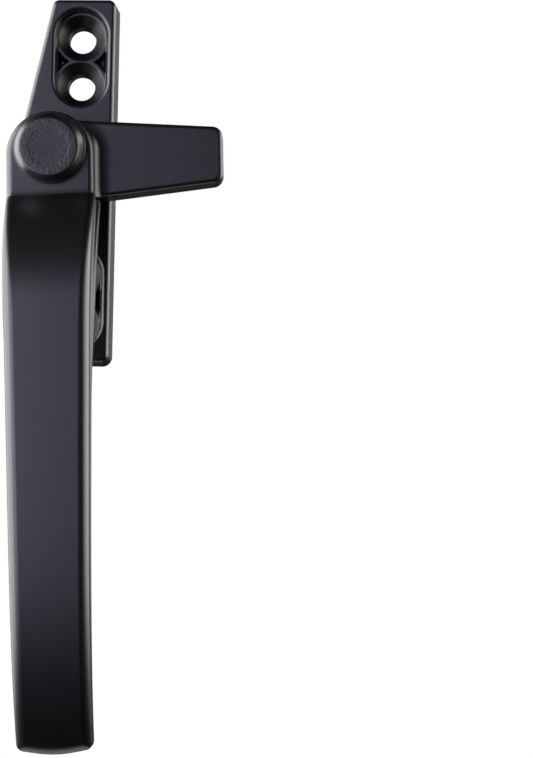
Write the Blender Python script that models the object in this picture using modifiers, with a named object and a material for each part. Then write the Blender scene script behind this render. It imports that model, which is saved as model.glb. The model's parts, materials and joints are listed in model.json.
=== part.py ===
"""Casement window cam handle: a screwed base plate, a lever on a riveted pivot pin, and a cam tongue.

Metres, +Z up. The origin is the middle of the screw pattern on the plate's back face, which lies in the
plane y = 0. Depth is counted from that face towards the room, along -Y. The tongue points along +X and
the grip hangs down. The lever, tongue and cap are drawn about the pivot axis and ride on an empty there.
"""
import math

import bmesh
import bpy
from mathutils import Vector

# Base plate
PLATE_THICKNESS = 0.0070
PLATE_TOP_MARGIN = 0.00285
PLATE_BOTTOM_MARGIN = 0.00335
PLATE_SIDE_MARGIN = 0.00215
PLATE_TOP_CUTBACK = 0.0011
PLATE_TOP_TILT = 0.0003
PLATE_DRAFT = 0.00085
PLATE_CORNER = 0.0020
PLATE_EDGE = 0.0006
LOBE_REACH = 0.0084
LOBE_FLANK = 0.0051
LOBE_CORNER = 0.0040

# Screw pockets, one above and one below the origin, each with a pair of countersunk holes
POCKET_PITCH = 0.0480
PAIR_PITCH = 0.0096
POCKET_WIDTH = 0.0101
POCKET_DEPTH = 0.0016
POCKET_DRAFT = 0.0005
POCKET_RIM = 0.0006
SCREW_HOLE_RADIUS = 0.0027
SCREW_LAND = 0.0035
COUNTERSINK_LEDGE = 0.0001
PIT_DEPTH = 0.0024
PIT_RIM = 0.0006
PIT_WALL = 0.0001

# Pivot stack
PIVOT_X = -0.0048
PIVOT_Z = 0.0035
PIN_RADIUS = 0.0030
PIN_HEAD_LIP = 0.0015
PIN_HEAD_THICKNESS = 0.0015
TAIL_LIP = 0.0010
TAIL_THICKNESS = 0.0012
TAIL_SET_IN = 0.0004
TAIL_WASHER_RIM = 0.0014
TAIL_WASHER_THICKNESS = 0.0008
THRUST_WASHER_RIM = 0.0010
THRUST_WASHER_THICKNESS = 0.0008
THRUST_SEAT_DEPTH = 0.0007
WAVE_WASHER_RIM = 0.0013
WAVE_WASHER_THICKNESS = 0.0003
WAVE_HEIGHT = 0.00015
WAVE_COUNT = 3
BUSH_WALL = 0.0008
CLEARANCE = 0.0003

# Lever: hub, neck and bowed grip
LEVER_LEAN = math.radians(2.0)
HUB_RADIUS = 0.0085
HUB_DROP = 0.0007
HUB_THICKNESS = 0.0095
HUB_WALL = 0.0006
CAP_BORE_DEPTH = 0.0024
NECK_TOP = 0.0089
NECK_RUN = 0.0256
NECK_POWER = 2.6
NECK_BACK_TOP = 0.0104
NECK_BACK_RUN = 0.0270
NECK_BACK_POWER = 1.7
GRIP_LENGTH = 0.1157
GRIP_RISE = 0.0128
GRIP_THICKNESS = 0.0084
GRIP_ROLL = 0.0095
GRIP_ROLL_POWER = 5.0
GRIP_END_THICKNESS = 0.0062
GRIP_END_HALF_WIDTH = 0.00715
GRIP_END_SAG = 0.0013
GRIP_END_CORNER = 0.0016
GRIP_END_ROUND = 0.0200
GRIP_TAPER_BLEND = 0.0200
LEVER_FRONT_EDGE = 0.0011
LEVER_BACK_EDGE = 0.0010
LEVER_DRAFT = 0.0003

# Tongue
TONGUE_REACH = 0.0336
TONGUE_THICKNESS = 0.0057
TONGUE_TIP_TOP = 0.0052
TONGUE_TIP_BOTTOM = 0.0060
TONGUE_ROOT_TOP = 0.0071
TONGUE_ROOT_BOTTOM = 0.0087
TONGUE_KNEE = 0.0110
TONGUE_CORNER = 0.0022
TONGUE_EDGE = 0.0009
TONGUE_DRAFT = 0.0002
ROOT_THICKNESS = 0.0037
ROOT_CORNER = 0.0015
LAP_COVER = 0.0019
LIP_WIDTH = 0.00075
LIP_THICKNESS = 0.0009
LIP_ROUND = 0.0055
LIP_EDGE = 0.0004

# Small screws that hold the tongue to the hub
SCREW_EDGE = 0.0003
SCREW_RADIUS = 0.0010
SCREW_HEAD_RADIUS = 0.0018
SCREW_HEAD_DEPTH = 0.0009
SCREW_COVER = 0.0018
SOCKET_RADIUS = 0.0008
SOCKET_DEPTH = 0.0007

# Quarter-turn stop
STOP_EDGE = 0.0004
STOP_RADIUS = 0.0006
STOP_ANGLE = math.radians(80)
STOP_TURN = math.radians(90)
STOP_DEPTH_IN_PLATE = 0.0035
STOP_REACH = 0.0019

# Cap
CAP_RADIUS = 0.0069
CAP_STEP_RADIUS = 0.0065
CAP_FACE_RADIUS = 0.0057
CAP_HEIGHT = 0.0032
CAP_RIM = 0.0014
CAP_CROWN = 0.0010
SPIGOT_WALL = 0.0006
SPIGOT_REACH = 0.0016

# Facets
TURN_STEPS = 40
SMALL_TURN_STEPS = 20
ARC_STEPS = 8
EDGE_STEPS = 3
NECK_STATIONS = 9
GRIP_STATIONS = 13
SLOT_STEPS = 12
CUT_PAST = 0.0010
HAIR = 0.0001
MERGE_DISTANCE = 0.000001
SMOOTH_ANGLE = math.radians(30)
QUARTER_TURN = math.radians(90)

# Plate outline that follows from its pockets
POCKET_REACH = (POCKET_PITCH + PAIR_PITCH + POCKET_WIDTH) / 2
PLATE_TOP = POCKET_REACH + PLATE_TOP_MARGIN
PLATE_BOTTOM = POCKET_REACH + PLATE_BOTTOM_MARGIN
PLATE_HALF_WIDTH = POCKET_WIDTH / 2 + PLATE_SIDE_MARGIN
PLATE_TOP_LEFT = PLATE_HALF_WIDTH - PLATE_TOP_CUTBACK

# Radii about the pivot, from the pin outwards
BUSH_BORE = PIN_RADIUS + CLEARANCE
BUSH_RADIUS = BUSH_BORE + BUSH_WALL
HUB_BORE = BUSH_RADIUS + CLEARANCE
PIN_HEAD_RADIUS = PIN_RADIUS + PIN_HEAD_LIP
TAIL_RADIUS = PIN_RADIUS + TAIL_LIP
TAIL_WASHER_RADIUS = BUSH_BORE + TAIL_WASHER_RIM
THRUST_WASHER_RADIUS = BUSH_BORE + THRUST_WASHER_RIM
WAVE_WASHER_RADIUS = BUSH_BORE + WAVE_WASHER_RIM
SPIGOT_BORE = PIN_HEAD_RADIUS + CLEARANCE
SPIGOT_RADIUS = SPIGOT_BORE + SPIGOT_WALL
CAP_BORE = SPIGOT_RADIUS + CLEARANCE
ROOT_HALF_WIDTH = HUB_RADIUS - HUB_DROP - HUB_WALL - CLEARANCE
STOP_SLOT_HALF = STOP_RADIUS + CLEARANCE
STOP_CIRCLE = ROOT_HALF_WIDTH - STOP_EDGE - STOP_SLOT_HALF
STOP_SLACK = CLEARANCE / STOP_CIRCLE

# Places on the lever, counted from the pivot
LAP_X = HUB_RADIUS - LAP_COVER
SCREW_ROOM = SCREW_HEAD_RADIUS + CLEARANCE + SCREW_EDGE
SCREW_X = ROOT_HALF_WIDTH - SCREW_ROOM
SCREW_Z = SCREW_ROOM - TONGUE_ROOT_BOTTOM

# Depths in the pivot stack, from the plate's back face outwards
TAIL_TOP = TAIL_SET_IN + TAIL_THICKNESS
TAIL_WASHER_BACK = TAIL_TOP + CLEARANCE
TAIL_RECESS = TAIL_WASHER_BACK + TAIL_WASHER_THICKNESS + CLEARANCE
THRUST_SEAT = PLATE_THICKNESS - THRUST_SEAT_DEPTH
THRUST_BACK = THRUST_SEAT + CLEARANCE
THRUST_FRONT = THRUST_BACK + THRUST_WASHER_THICKNESS
HUB_BACK = THRUST_FRONT + CLEARANCE
HUB_FRONT = HUB_BACK + HUB_THICKNESS
TONGUE_FRONT = HUB_BACK + TONGUE_THICKNESS
ROOT_FRONT = HUB_BACK + ROOT_THICKNESS
SCREW_TIP = HUB_FRONT - SCREW_COVER
CAP_BORE_FLOOR = HUB_FRONT - CAP_BORE_DEPTH
WAVE_MIDDLE = CAP_BORE_FLOOR + CLEARANCE + WAVE_HEIGHT + WAVE_WASHER_THICKNESS / 2
HEAD_UNDERSIDE = WAVE_MIDDLE + WAVE_HEIGHT + WAVE_WASHER_THICKNESS / 2 + CLEARANCE
HEAD_TOP = HEAD_UNDERSIDE + PIN_HEAD_THICKNESS
CAP_SEAT = HUB_FRONT + CLEARANCE
CAP_TOP = CAP_SEAT + CAP_HEIGHT
GRIP_FRONT = HUB_FRONT + GRIP_RISE
GRIP_BACK = GRIP_FRONT - GRIP_THICKNESS
NECK_END = NECK_TOP + NECK_RUN


def collection(name):
    """Return a new collection linked to the scene."""
    made = bpy.data.collections.new(name)
    bpy.context.scene.collection.children.link(made)
    return made


def material(name, colour, roughness, metallic):
    """Return a Principled material with one colour."""
    made = bpy.data.materials.new(name)
    made.use_nodes = True
    shader = made.node_tree.nodes["Principled BSDF"]
    shader.inputs["Base Color"].default_value = (*colour, 1.0)
    shader.inputs["Roughness"].default_value = roughness
    shader.inputs["Metallic"].default_value = metallic
    return made


def place(x, z, depth):
    """Return the point at x and z, as deep in front of the plate's back as depth."""
    return Vector((x, -depth, z))


def new_object(name, mesh, parent, finish):
    """Wrap a mesh as a named part, or as a hidden cutter if it has no finish."""
    made = bpy.data.objects.new(name, mesh)
    if finish is None:
        CUTTERS.objects.link(made)
        made.hide_render = True
        made.display_type = "WIRE"
    else:
        PARTS.objects.link(made)
        mesh.materials.clear()
        mesh.materials.append(finish)
        mesh.shade_smooth()
        mesh.set_sharp_from_angle(angle=SMOOTH_ANGLE)
    made.parent = parent
    return made


def rounded_outline(corners, inset, steps=ARC_STEPS):
    """Return the points of a convex outline, drawn in by inset.

    The corners are (x, z, radius), clockwise as seen from the front.
    """
    points = []
    count = len(corners)
    for index, (x, z, radius) in enumerate(corners):
        corner = Vector((x, z))
        before = (corner - Vector(corners[index - 1][:2])).normalized()
        after = (Vector(corners[(index + 1) % count][:2]) - corner).normalized()
        inward_before = Vector((before.y, -before.x))
        inward_after = Vector((after.y, -after.x))
        mitre = (inward_before + inward_after) / (1 + inward_before.dot(inward_after))
        bend = max(radius - inset, HAIR)
        centre = corner + mitre * (inset + bend)
        start = math.atan2(inward_before.y, inward_before.x)
        turn = inward_before.angle_signed(inward_after)
        for step in range(steps + 1):
            angle = start - turn * step / steps
            points.append(centre - bend * Vector((math.cos(angle), math.sin(angle))))
    return points


def loft(name, rings, parent, finish=None):
    """Skin a stack of rings that have as many points each, and close both ends."""
    shape = bmesh.new()
    rows = [[shape.verts.new(point) for point in ring] for ring in rings]
    count = len(rows[0])
    for lower, upper in zip(rows, rows[1:]):
        for index in range(count):
            following = (index + 1) % count
            shape.faces.new((lower[index], lower[following], upper[following], upper[index]))
    shape.faces.new(rows[0])
    shape.faces.new(rows[-1])
    bmesh.ops.remove_doubles(shape, verts=shape.verts, dist=MERGE_DISTANCE)
    bmesh.ops.recalc_face_normals(shape, faces=shape.faces)
    mesh = bpy.data.meshes.new(name)
    shape.to_mesh(mesh)
    shape.free()
    return new_object(name, mesh, parent, finish)


def slab(name, corners, layers, parent, finish=None):
    """Skin an outline that is drawn in by a given inset at each depth: layers of (inset, depth)."""
    rings = []
    for inset, depth in layers:
        rings.append([place(point.x, point.y, depth) for point in rounded_outline(corners, inset)])
    return loft(name, rings, parent, finish)


def rounding(radius, steps=EDGE_STEPS):
    """Return (inset, drop) pairs of a quarter-round edge, from the wall to the face."""
    turns = [QUARTER_TURN * step / steps for step in range(steps + 1)]
    return [(radius * (1 - math.cos(turn)), radius * (1 - math.sin(turn))) for turn in turns]


def rounded_layers(back, front, draft, edge):
    """Return slab layers for a drafted wall with a rounded front edge."""
    height = front - back
    layers = [(0.0, back)]
    for inset, drop in rounding(edge):
        layers.append((draft * (height - drop) / height + inset, front - drop))
    return layers


def turned(name, profile, parent, finish=None, x=0.0, z=0.0, closed=False, steps=TURN_STEPS):
    """Turn a profile of (radius, depth) points about an axis through x and z that runs front to back.

    An open profile runs from the axis at the front to the axis at the back.
    A closed one is a ring's section.
    """
    line = bmesh.new()
    points = [line.verts.new((radius, 0, depth)) for radius, depth in profile]
    pairs = list(zip(points, points[1:]))
    if closed:
        pairs.append((points[-1], points[0]))
    for pair in pairs:
        line.edges.new(pair)
    mesh = bpy.data.meshes.new(name)
    line.to_mesh(mesh)
    line.free()
    made = new_object(name, mesh, parent, finish)
    made.location = place(x, z, 0)
    made.rotation_euler = (QUARTER_TURN, 0, 0)
    screw = made.modifiers.new("turn", "SCREW")
    screw.axis = "Z"
    screw.steps = steps
    screw.render_steps = steps
    screw.use_merge_vertices = True
    screw.merge_threshold = MERGE_DISTANCE
    screw.use_smooth_shade = finish is not None
    return made


def ring(name, outer, inner, back, front, parent, finish, x=0.0, z=0.0):
    """Turn a plain ring."""
    section = [(outer, front), (outer, back), (inner, back), (inner, front)]
    return turned(name, section, parent, finish, x, z, closed=True)


def settle(thing):
    """Replace an object's mesh by what its modifiers make of it."""
    graph = bpy.context.evaluated_depsgraph_get()
    mesh = bpy.data.meshes.new_from_object(thing.evaluated_get(graph))
    thing.modifiers.clear()
    thing.data = mesh
    return mesh


def boolean(thing, tool, operation="DIFFERENCE"):
    """Cut a part with a tool, or join the tool to it."""
    step = thing.modifiers.new(tool.name, "BOOLEAN")
    step.operation = operation
    step.object = tool
    step.solver = "EXACT"


def plate_corners():
    """Return the base plate's outline, with the lobe that carries the pivot on its left."""
    lobe = PIVOT_X - LOBE_REACH
    return [
        (-PLATE_TOP_LEFT, PLATE_TOP - PLATE_TOP_TILT, PLATE_CORNER),
        (PLATE_HALF_WIDTH, PLATE_TOP, PLATE_CORNER),
        (PLATE_HALF_WIDTH, -PLATE_BOTTOM, PLATE_CORNER),
        (-PLATE_HALF_WIDTH, -PLATE_BOTTOM, PLATE_CORNER),
        (lobe, PIVOT_Z - LOBE_FLANK, LOBE_CORNER),
        (lobe, PIVOT_Z, LOBE_CORNER),
    ]


def pocket_corners(middle):
    """Return a round-ended pocket's outline about a height on the screw line."""
    half = POCKET_WIDTH / 2
    top = middle + PAIR_PITCH / 2 + half
    bottom = middle - PAIR_PITCH / 2 - half
    return [(-half, top, half), (half, top, half), (half, bottom, half), (-half, bottom, half)]


def make_pits(label, middle, floor, spared):
    """Return the cutter of a pocket's two small pits, which lie outside a spared radius about each hole."""
    pits = slab(
        f"{label}_pits",
        pocket_corners(middle),
        [(POCKET_DRAFT + PIT_WALL, floor - PIT_DEPTH), (POCKET_DRAFT + PIT_WALL, floor + HAIR)],
        None,
    )
    profile = [
        (0.0, floor + CUT_PAST),
        (spared, floor + CUT_PAST),
        (spared, floor - PIT_DEPTH - CUT_PAST),
        (0.0, floor - PIT_DEPTH - CUT_PAST),
    ]
    for end, side in (("high", 1), ("low", -1)):
        plug = turned(f"{label}_{end}_pit_plug", profile, None, z=middle + side * PAIR_PITCH / 2)
        boolean(pits, plug)
    return pits


def make_base_plate(finish):
    """Cast the plate and cut its screw pockets, pivot bore and stop hole."""
    plate = slab(
        "base_plate",
        plate_corners(),
        rounded_layers(0.0, PLATE_THICKNESS, PLATE_DRAFT, PLATE_EDGE),
        None,
        finish,
    )
    floor = PLATE_THICKNESS - POCKET_DEPTH
    cone = POCKET_WIDTH / 2 - POCKET_DRAFT - COUNTERSINK_LEDGE
    for label, middle in (("upper", POCKET_PITCH / 2), ("lower", -POCKET_PITCH / 2)):
        pocket = slab(
            f"{label}_pocket",
            pocket_corners(middle),
            [
                (POCKET_DRAFT, floor),
                (0.0, PLATE_THICKNESS - POCKET_RIM),
                (-POCKET_RIM - CUT_PAST, PLATE_THICKNESS + CUT_PAST),
            ],
            None,
        )
        boolean(plate, pocket)
        for end, side in (("high", 1), ("low", -1)):
            profile = [
                (0.0, floor + HAIR),
                (cone, floor + HAIR),
                (SCREW_HOLE_RADIUS, SCREW_LAND),
                (SCREW_HOLE_RADIUS, -CUT_PAST),
                (0.0, -CUT_PAST),
            ]
            hole = turned(f"{label}_{end}_screw_hole", profile, None, z=middle + side * PAIR_PITCH / 2)
            boolean(plate, hole)
        boolean(plate, make_pits(label, middle, floor, cone + PIT_RIM))
    recess = TAIL_WASHER_RADIUS + CLEARANCE
    seat = THRUST_WASHER_RADIUS + CLEARANCE
    pivot_bore = turned(
        "pivot_bore",
        [
            (0.0, PLATE_THICKNESS + CUT_PAST),
            (seat, PLATE_THICKNESS + CUT_PAST),
            (seat, THRUST_SEAT),
            (BUSH_BORE, THRUST_SEAT),
            (BUSH_BORE, TAIL_RECESS),
            (recess, TAIL_RECESS),
            (recess, -CUT_PAST),
            (0.0, -CUT_PAST),
        ],
        None,
        x=PIVOT_X,
        z=PIVOT_Z,
    )
    boolean(plate, pivot_bore)
    stop_x, stop_z = stop_place()
    bottom = PLATE_THICKNESS - STOP_DEPTH_IN_PLATE - CLEARANCE
    stop_hole = turned(
        "stop_hole",
        [
            (0.0, PLATE_THICKNESS + CUT_PAST),
            (STOP_SLOT_HALF, PLATE_THICKNESS + CUT_PAST),
            (STOP_SLOT_HALF, bottom),
            (0.0, bottom),
        ],
        None,
        x=stop_x,
        z=stop_z,
    )
    boolean(plate, stop_hole)


def stop_place():
    """Return the stop pin's x and z: its angle is counted on the lever as it rests."""
    angle = STOP_ANGLE + LEVER_LEAN
    return PIVOT_X + STOP_CIRCLE * math.cos(angle), PIVOT_Z + STOP_CIRCLE * math.sin(angle)


def make_pivot_set(steel, spring_steel, acetal):
    """Make the pin and the washers that stay with the plate."""
    turned(
        "pivot_pin",
        [
            (0.0, HEAD_TOP),
            (PIN_HEAD_RADIUS, HEAD_TOP),
            (PIN_HEAD_RADIUS, HEAD_UNDERSIDE),
            (PIN_RADIUS, HEAD_UNDERSIDE),
            (PIN_RADIUS, TAIL_TOP),
            (TAIL_RADIUS, TAIL_TOP),
            (PIN_RADIUS, TAIL_SET_IN),
            (0.0, TAIL_SET_IN),
        ],
        None,
        steel,
        PIVOT_X,
        PIVOT_Z,
    )
    ring(
        "tail_washer",
        TAIL_WASHER_RADIUS,
        BUSH_BORE,
        TAIL_WASHER_BACK,
        TAIL_WASHER_BACK + TAIL_WASHER_THICKNESS,
        None,
        steel,
        PIVOT_X,
        PIVOT_Z,
    )
    ring(
        "thrust_washer",
        THRUST_WASHER_RADIUS,
        BUSH_BORE,
        THRUST_BACK,
        THRUST_FRONT,
        None,
        acetal,
        PIVOT_X,
        PIVOT_Z,
    )
    half = WAVE_WASHER_THICKNESS / 2
    wave = ring(
        "wave_washer",
        WAVE_WASHER_RADIUS,
        BUSH_BORE,
        WAVE_MIDDLE - half,
        WAVE_MIDDLE + half,
        None,
        spring_steel,
        PIVOT_X,
        PIVOT_Z,
    )
    for vertex in settle(wave).vertices:
        vertex.co.z += WAVE_HEIGHT * math.sin(WAVE_COUNT * math.atan2(vertex.co.y, vertex.co.x))
    stop_x, stop_z = stop_place()
    turned(
        "stop_pin",
        [
            (0.0, HUB_BACK + STOP_REACH),
            (STOP_RADIUS, HUB_BACK + STOP_REACH),
            (STOP_RADIUS, PLATE_THICKNESS - STOP_DEPTH_IN_PLATE),
            (0.0, PLATE_THICKNESS - STOP_DEPTH_IN_PLATE),
        ],
        None,
        steel,
        stop_x,
        stop_z,
    )


def lever_corners():
    """Return the lever's outline: a round hub, straight tapering sides and a bowed end."""
    end = GRIP_LENGTH - GRIP_END_SAG
    hub_top = HUB_RADIUS - HUB_DROP
    return [
        (-HUB_RADIUS, hub_top, HUB_RADIUS),
        (HUB_RADIUS, hub_top, HUB_RADIUS),
        (HUB_RADIUS, -NECK_TOP, GRIP_TAPER_BLEND),
        (GRIP_END_HALF_WIDTH, -end, GRIP_END_CORNER),
        (0.0, -GRIP_LENGTH, GRIP_END_ROUND),
        (-GRIP_END_HALF_WIDTH, -end, GRIP_END_CORNER),
        (-HUB_RADIUS, -NECK_TOP, GRIP_TAPER_BLEND),
    ]


def rise_share(drop, top, run, power):
    """Return how much of a neck's rise is done at a height below the pivot, from 0 to 1."""
    share = min(max((drop - top) / run, 0.0), 1.0)
    return 1 - (1 - share) ** power


def grip_share(drop):
    """Return how far along the grip a height below the pivot lies, from 0 to 1."""
    return max((drop - NECK_END) / (GRIP_LENGTH - NECK_END), 0.0)


def lever_front(z):
    """Return the depth of the lever's front face at a height."""
    rise = GRIP_RISE * rise_share(-z, NECK_TOP, NECK_RUN, NECK_POWER)
    return HUB_FRONT + rise - GRIP_ROLL * grip_share(-z) ** GRIP_ROLL_POWER


def lever_back(z):
    """Return the depth of the lever's back face at a height."""
    along = grip_share(-z)
    rise = (GRIP_BACK - HUB_BACK) * rise_share(-z, NECK_BACK_TOP, NECK_BACK_RUN, NECK_BACK_POWER)
    thinning = (GRIP_THICKNESS - GRIP_END_THICKNESS) * along
    return HUB_BACK + rise + thinning - GRIP_ROLL * along ** GRIP_ROLL_POWER


def lever_stations():
    """Return the heights where the lever's faces bend."""
    neck = [NECK_TOP + NECK_RUN * step / NECK_STATIONS for step in range(NECK_STATIONS + 1)]
    grip_run = GRIP_LENGTH - NECK_END
    grip = [NECK_END + grip_run * step / GRIP_STATIONS for step in range(1, GRIP_STATIONS)]
    return [-drop for drop in neck + [NECK_BACK_TOP] + grip]


def divide(shape, point, normal):
    """Divide a shape's faces where a plane crosses them."""
    everything = shape.verts[:] + shape.edges[:] + shape.faces[:]
    bmesh.ops.bisect_plane(shape, geom=everything, dist=MERGE_DISTANCE, plane_co=point, plane_no=normal)


def make_lip(parent):
    """Return the lip on the hub's right flank, which covers the joint where the tongue comes out."""
    edge = HUB_RADIUS + LIP_WIDTH
    top = tongue_top(edge) - TONGUE_EDGE
    bottom = LIP_EDGE - NECK_TOP
    corners = [
        (0.0, top, LIP_EDGE),
        (edge, top, LIP_ROUND),
        (edge, bottom, LIP_EDGE),
        (0.0, bottom, LIP_EDGE),
    ]
    front = TONGUE_FRONT + CLEARANCE + LIP_THICKNESS
    return slab("lip", corners, rounded_layers(ROOT_FRONT, front, 0.0, LIP_EDGE), parent)


def make_lever(parent, finish):
    """Draw the lever flat with rounded edges, bend it to its side profile, and bore its hub."""
    layers = [(inset - LEVER_DRAFT, drop) for inset, drop in reversed(rounding(LEVER_BACK_EDGE))]
    layers += [(inset, HUB_THICKNESS - drop) for inset, drop in rounding(LEVER_FRONT_EDGE)]
    lever = slab("lever", lever_corners(), layers, parent, finish)
    shape = bmesh.new()
    shape.from_mesh(lever.data)
    for height in lever_stations():
        divide(shape, (0, 0, height), (0, 0, 1))
    for vertex in shape.verts:
        depth = -vertex.co.y
        if depth > HUB_THICKNESS / 2:
            vertex.co.y = -(lever_front(vertex.co.z) - (HUB_THICKNESS - depth))
        else:
            vertex.co.y = -(lever_back(vertex.co.z) + depth)
    shape.to_mesh(lever.data)
    shape.free()
    boolean(lever, make_lip(parent), "UNION")
    root_recess = slab(
        "root_recess",
        root_corners(),
        [(-CLEARANCE, HUB_BACK - CUT_PAST), (-CLEARANCE, ROOT_FRONT + CLEARANCE)],
        parent,
    )
    arm_recess = slab(
        "arm_recess",
        arm_corners(),
        [(-CLEARANCE, HUB_BACK - CUT_PAST), (-CLEARANCE, TONGUE_FRONT + CLEARANCE)],
        parent,
    )
    hub_bore = turned(
        "hub_bore",
        [
            (0.0, HUB_FRONT + CUT_PAST),
            (CAP_BORE, HUB_FRONT + CUT_PAST),
            (CAP_BORE, CAP_BORE_FLOOR),
            (HUB_BORE, CAP_BORE_FLOOR),
            (HUB_BORE, HUB_BACK - CUT_PAST),
            (0.0, HUB_BACK - CUT_PAST),
        ],
        parent,
    )
    tools = [root_recess, arm_recess, hub_bore]
    for label, side in (("left", -1), ("right", 1)):
        tip = SCREW_TIP + CLEARANCE
        profile = [
            (0.0, tip),
            (SCREW_RADIUS + CLEARANCE, tip),
            (SCREW_RADIUS + CLEARANCE, HUB_BACK),
            (0.0, HUB_BACK),
        ]
        tools.append(turned(f"{label}_hub_screw_hole", profile, parent, x=side * SCREW_X, z=SCREW_Z))
    for tool in tools:
        boolean(lever, tool)


def tongue_top(x):
    """Return the height of the tongue's top edge."""
    return TONGUE_ROOT_TOP + (TONGUE_TIP_TOP - TONGUE_ROOT_TOP) * x / TONGUE_REACH


def arm_corners():
    """Return the outline of the tongue's arm, from its tip back to where it laps under the hub."""
    return [
        (LAP_X, tongue_top(LAP_X), HAIR),
        (TONGUE_REACH, TONGUE_TIP_TOP, TONGUE_CORNER),
        (TONGUE_REACH, -TONGUE_TIP_BOTTOM, TONGUE_CORNER),
        (TONGUE_KNEE, -TONGUE_ROOT_BOTTOM, TONGUE_CORNER),
        (LAP_X, -TONGUE_ROOT_BOTTOM, HAIR),
    ]


def root_corners():
    """Return the outline of the tongue's root: round about the pivot, with a square foot."""
    return [
        (-ROOT_HALF_WIDTH, ROOT_HALF_WIDTH, ROOT_HALF_WIDTH),
        (ROOT_HALF_WIDTH, ROOT_HALF_WIDTH, ROOT_HALF_WIDTH),
        (ROOT_HALF_WIDTH, -TONGUE_ROOT_BOTTOM, ROOT_CORNER),
        (-ROOT_HALF_WIDTH, -TONGUE_ROOT_BOTTOM, ROOT_CORNER),
    ]


def arc_points(x, z, radius, first, last):
    """Return (x, z) points on an arc about a centre, from one angle to another."""
    angles = [first + (last - first) * step / SLOT_STEPS for step in range(SLOT_STEPS + 1)]
    return [(x + radius * math.cos(angle), z + radius * math.sin(angle)) for angle in angles]


def stop_slot_points(depth):
    """Return the outline of the curved slot that lets the stop pin pass through the lever's turn."""
    first = STOP_ANGLE - STOP_SLACK
    last = STOP_ANGLE + STOP_TURN + STOP_SLACK
    outline = arc_points(0.0, 0.0, STOP_CIRCLE + STOP_SLOT_HALF, first, last)
    last_centre = (STOP_CIRCLE * math.cos(last), STOP_CIRCLE * math.sin(last))
    outline += arc_points(*last_centre, STOP_SLOT_HALF, last, last + math.pi)
    outline += arc_points(0.0, 0.0, STOP_CIRCLE - STOP_SLOT_HALF, last, first)
    first_centre = (STOP_CIRCLE * math.cos(first), STOP_CIRCLE * math.sin(first))
    outline += arc_points(*first_centre, STOP_SLOT_HALF, first + math.pi, first + 2 * math.pi)
    return [place(x, z, depth) for x, z in outline]


def make_tongue(parent, finish):
    """Make the tongue: a thick arm, and a thin root that laps behind the hub."""
    tongue = slab(
        "tongue",
        arm_corners(),
        rounded_layers(HUB_BACK, TONGUE_FRONT, TONGUE_DRAFT, TONGUE_EDGE),
        parent,
        finish,
    )
    root = slab("root", root_corners(), [(0.0, HUB_BACK), (0.0, ROOT_FRONT)], parent)
    boolean(tongue, root, "UNION")
    far = TONGUE_FRONT + CUT_PAST
    lap = slab(
        "lap",
        [
            (-TONGUE_REACH, TONGUE_REACH, HAIR),
            (LAP_X, TONGUE_REACH, HAIR),
            (LAP_X, -TONGUE_REACH, HAIR),
            (-TONGUE_REACH, -TONGUE_REACH, HAIR),
        ],
        [(0.0, ROOT_FRONT), (0.0, far)],
        parent,
    )
    root_bore = turned(
        "root_bore",
        [
            (0.0, far),
            (HUB_BORE, far),
            (HUB_BORE, HUB_BACK - CUT_PAST),
            (0.0, HUB_BACK - CUT_PAST),
        ],
        parent,
    )
    slot_floor = HUB_BACK + STOP_REACH + CLEARANCE
    slot_rings = [stop_slot_points(HUB_BACK - CUT_PAST), stop_slot_points(slot_floor)]
    stop_slot = loft("stop_slot", slot_rings, parent)
    tools = [lap, root_bore, stop_slot]
    for label, side in (("left", -1), ("right", 1)):
        shank = SCREW_RADIUS + CLEARANCE
        head = SCREW_HEAD_RADIUS + CLEARANCE
        profile = [
            (0.0, far),
            (shank, far),
            (shank, HUB_BACK + SCREW_HEAD_DEPTH + CLEARANCE),
            (head, HUB_BACK + CLEARANCE),
            (head, HUB_BACK - CUT_PAST),
            (0.0, HUB_BACK - CUT_PAST),
        ]
        tools.append(turned(f"{label}_root_screw_hole", profile, parent, x=side * SCREW_X, z=SCREW_Z))
    for tool in tools:
        boolean(tongue, tool)


def make_tongue_screws(parent, finish):
    """Turn the two countersunk socket screws."""
    back = HUB_BACK + CLEARANCE / 2
    profile = [
        (0.0, SCREW_TIP),
        (SCREW_RADIUS, SCREW_TIP),
        (SCREW_RADIUS, back + SCREW_HEAD_DEPTH),
        (SCREW_HEAD_RADIUS, back),
        (SOCKET_RADIUS, back),
        (SOCKET_RADIUS, back + SOCKET_DEPTH),
        (0.0, back + SOCKET_DEPTH),
    ]
    for label, side in (("left", -1), ("right", 1)):
        name = f"{label}_tongue_screw"
        turned(name, profile, parent, finish, side * SCREW_X, SCREW_Z, steps=SMALL_TURN_STEPS)


def make_cap(parent, finish):
    """Turn the bevelled cap with the spigot that plugs the hub's bore."""
    turned(
        "cap",
        [
            (0.0, CAP_TOP),
            (CAP_FACE_RADIUS, CAP_TOP),
            (CAP_STEP_RADIUS, CAP_SEAT + CAP_RIM),
            (CAP_RADIUS, CAP_SEAT),
            (SPIGOT_RADIUS, CAP_SEAT),
            (SPIGOT_RADIUS, HUB_FRONT - SPIGOT_REACH),
            (SPIGOT_BORE, HUB_FRONT - SPIGOT_REACH),
            (SPIGOT_BORE, CAP_TOP - CAP_CROWN),
            (0.0, CAP_TOP - CAP_CROWN),
        ],
        parent,
        finish,
    )


def make_hub_bush(parent, finish):
    """Turn the sleeve that lines the hub's bore."""
    ring("hub_bush", BUSH_RADIUS, BUSH_BORE, HUB_BACK, CAP_BORE_FLOOR, parent, finish)


def make_lever_axis():
    """Stand the empty that the lever turns about on the pivot axis, leaning as the lever rests."""
    axis = bpy.data.objects.new("lever_axis", None)
    PARTS.objects.link(axis)
    axis.location = place(PIVOT_X, PIVOT_Z, 0)
    axis.rotation_euler = (0, -LEVER_LEAN, 0)
    return axis


for leftover in list(bpy.data.objects):
    bpy.data.objects.remove(leftover)

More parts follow.
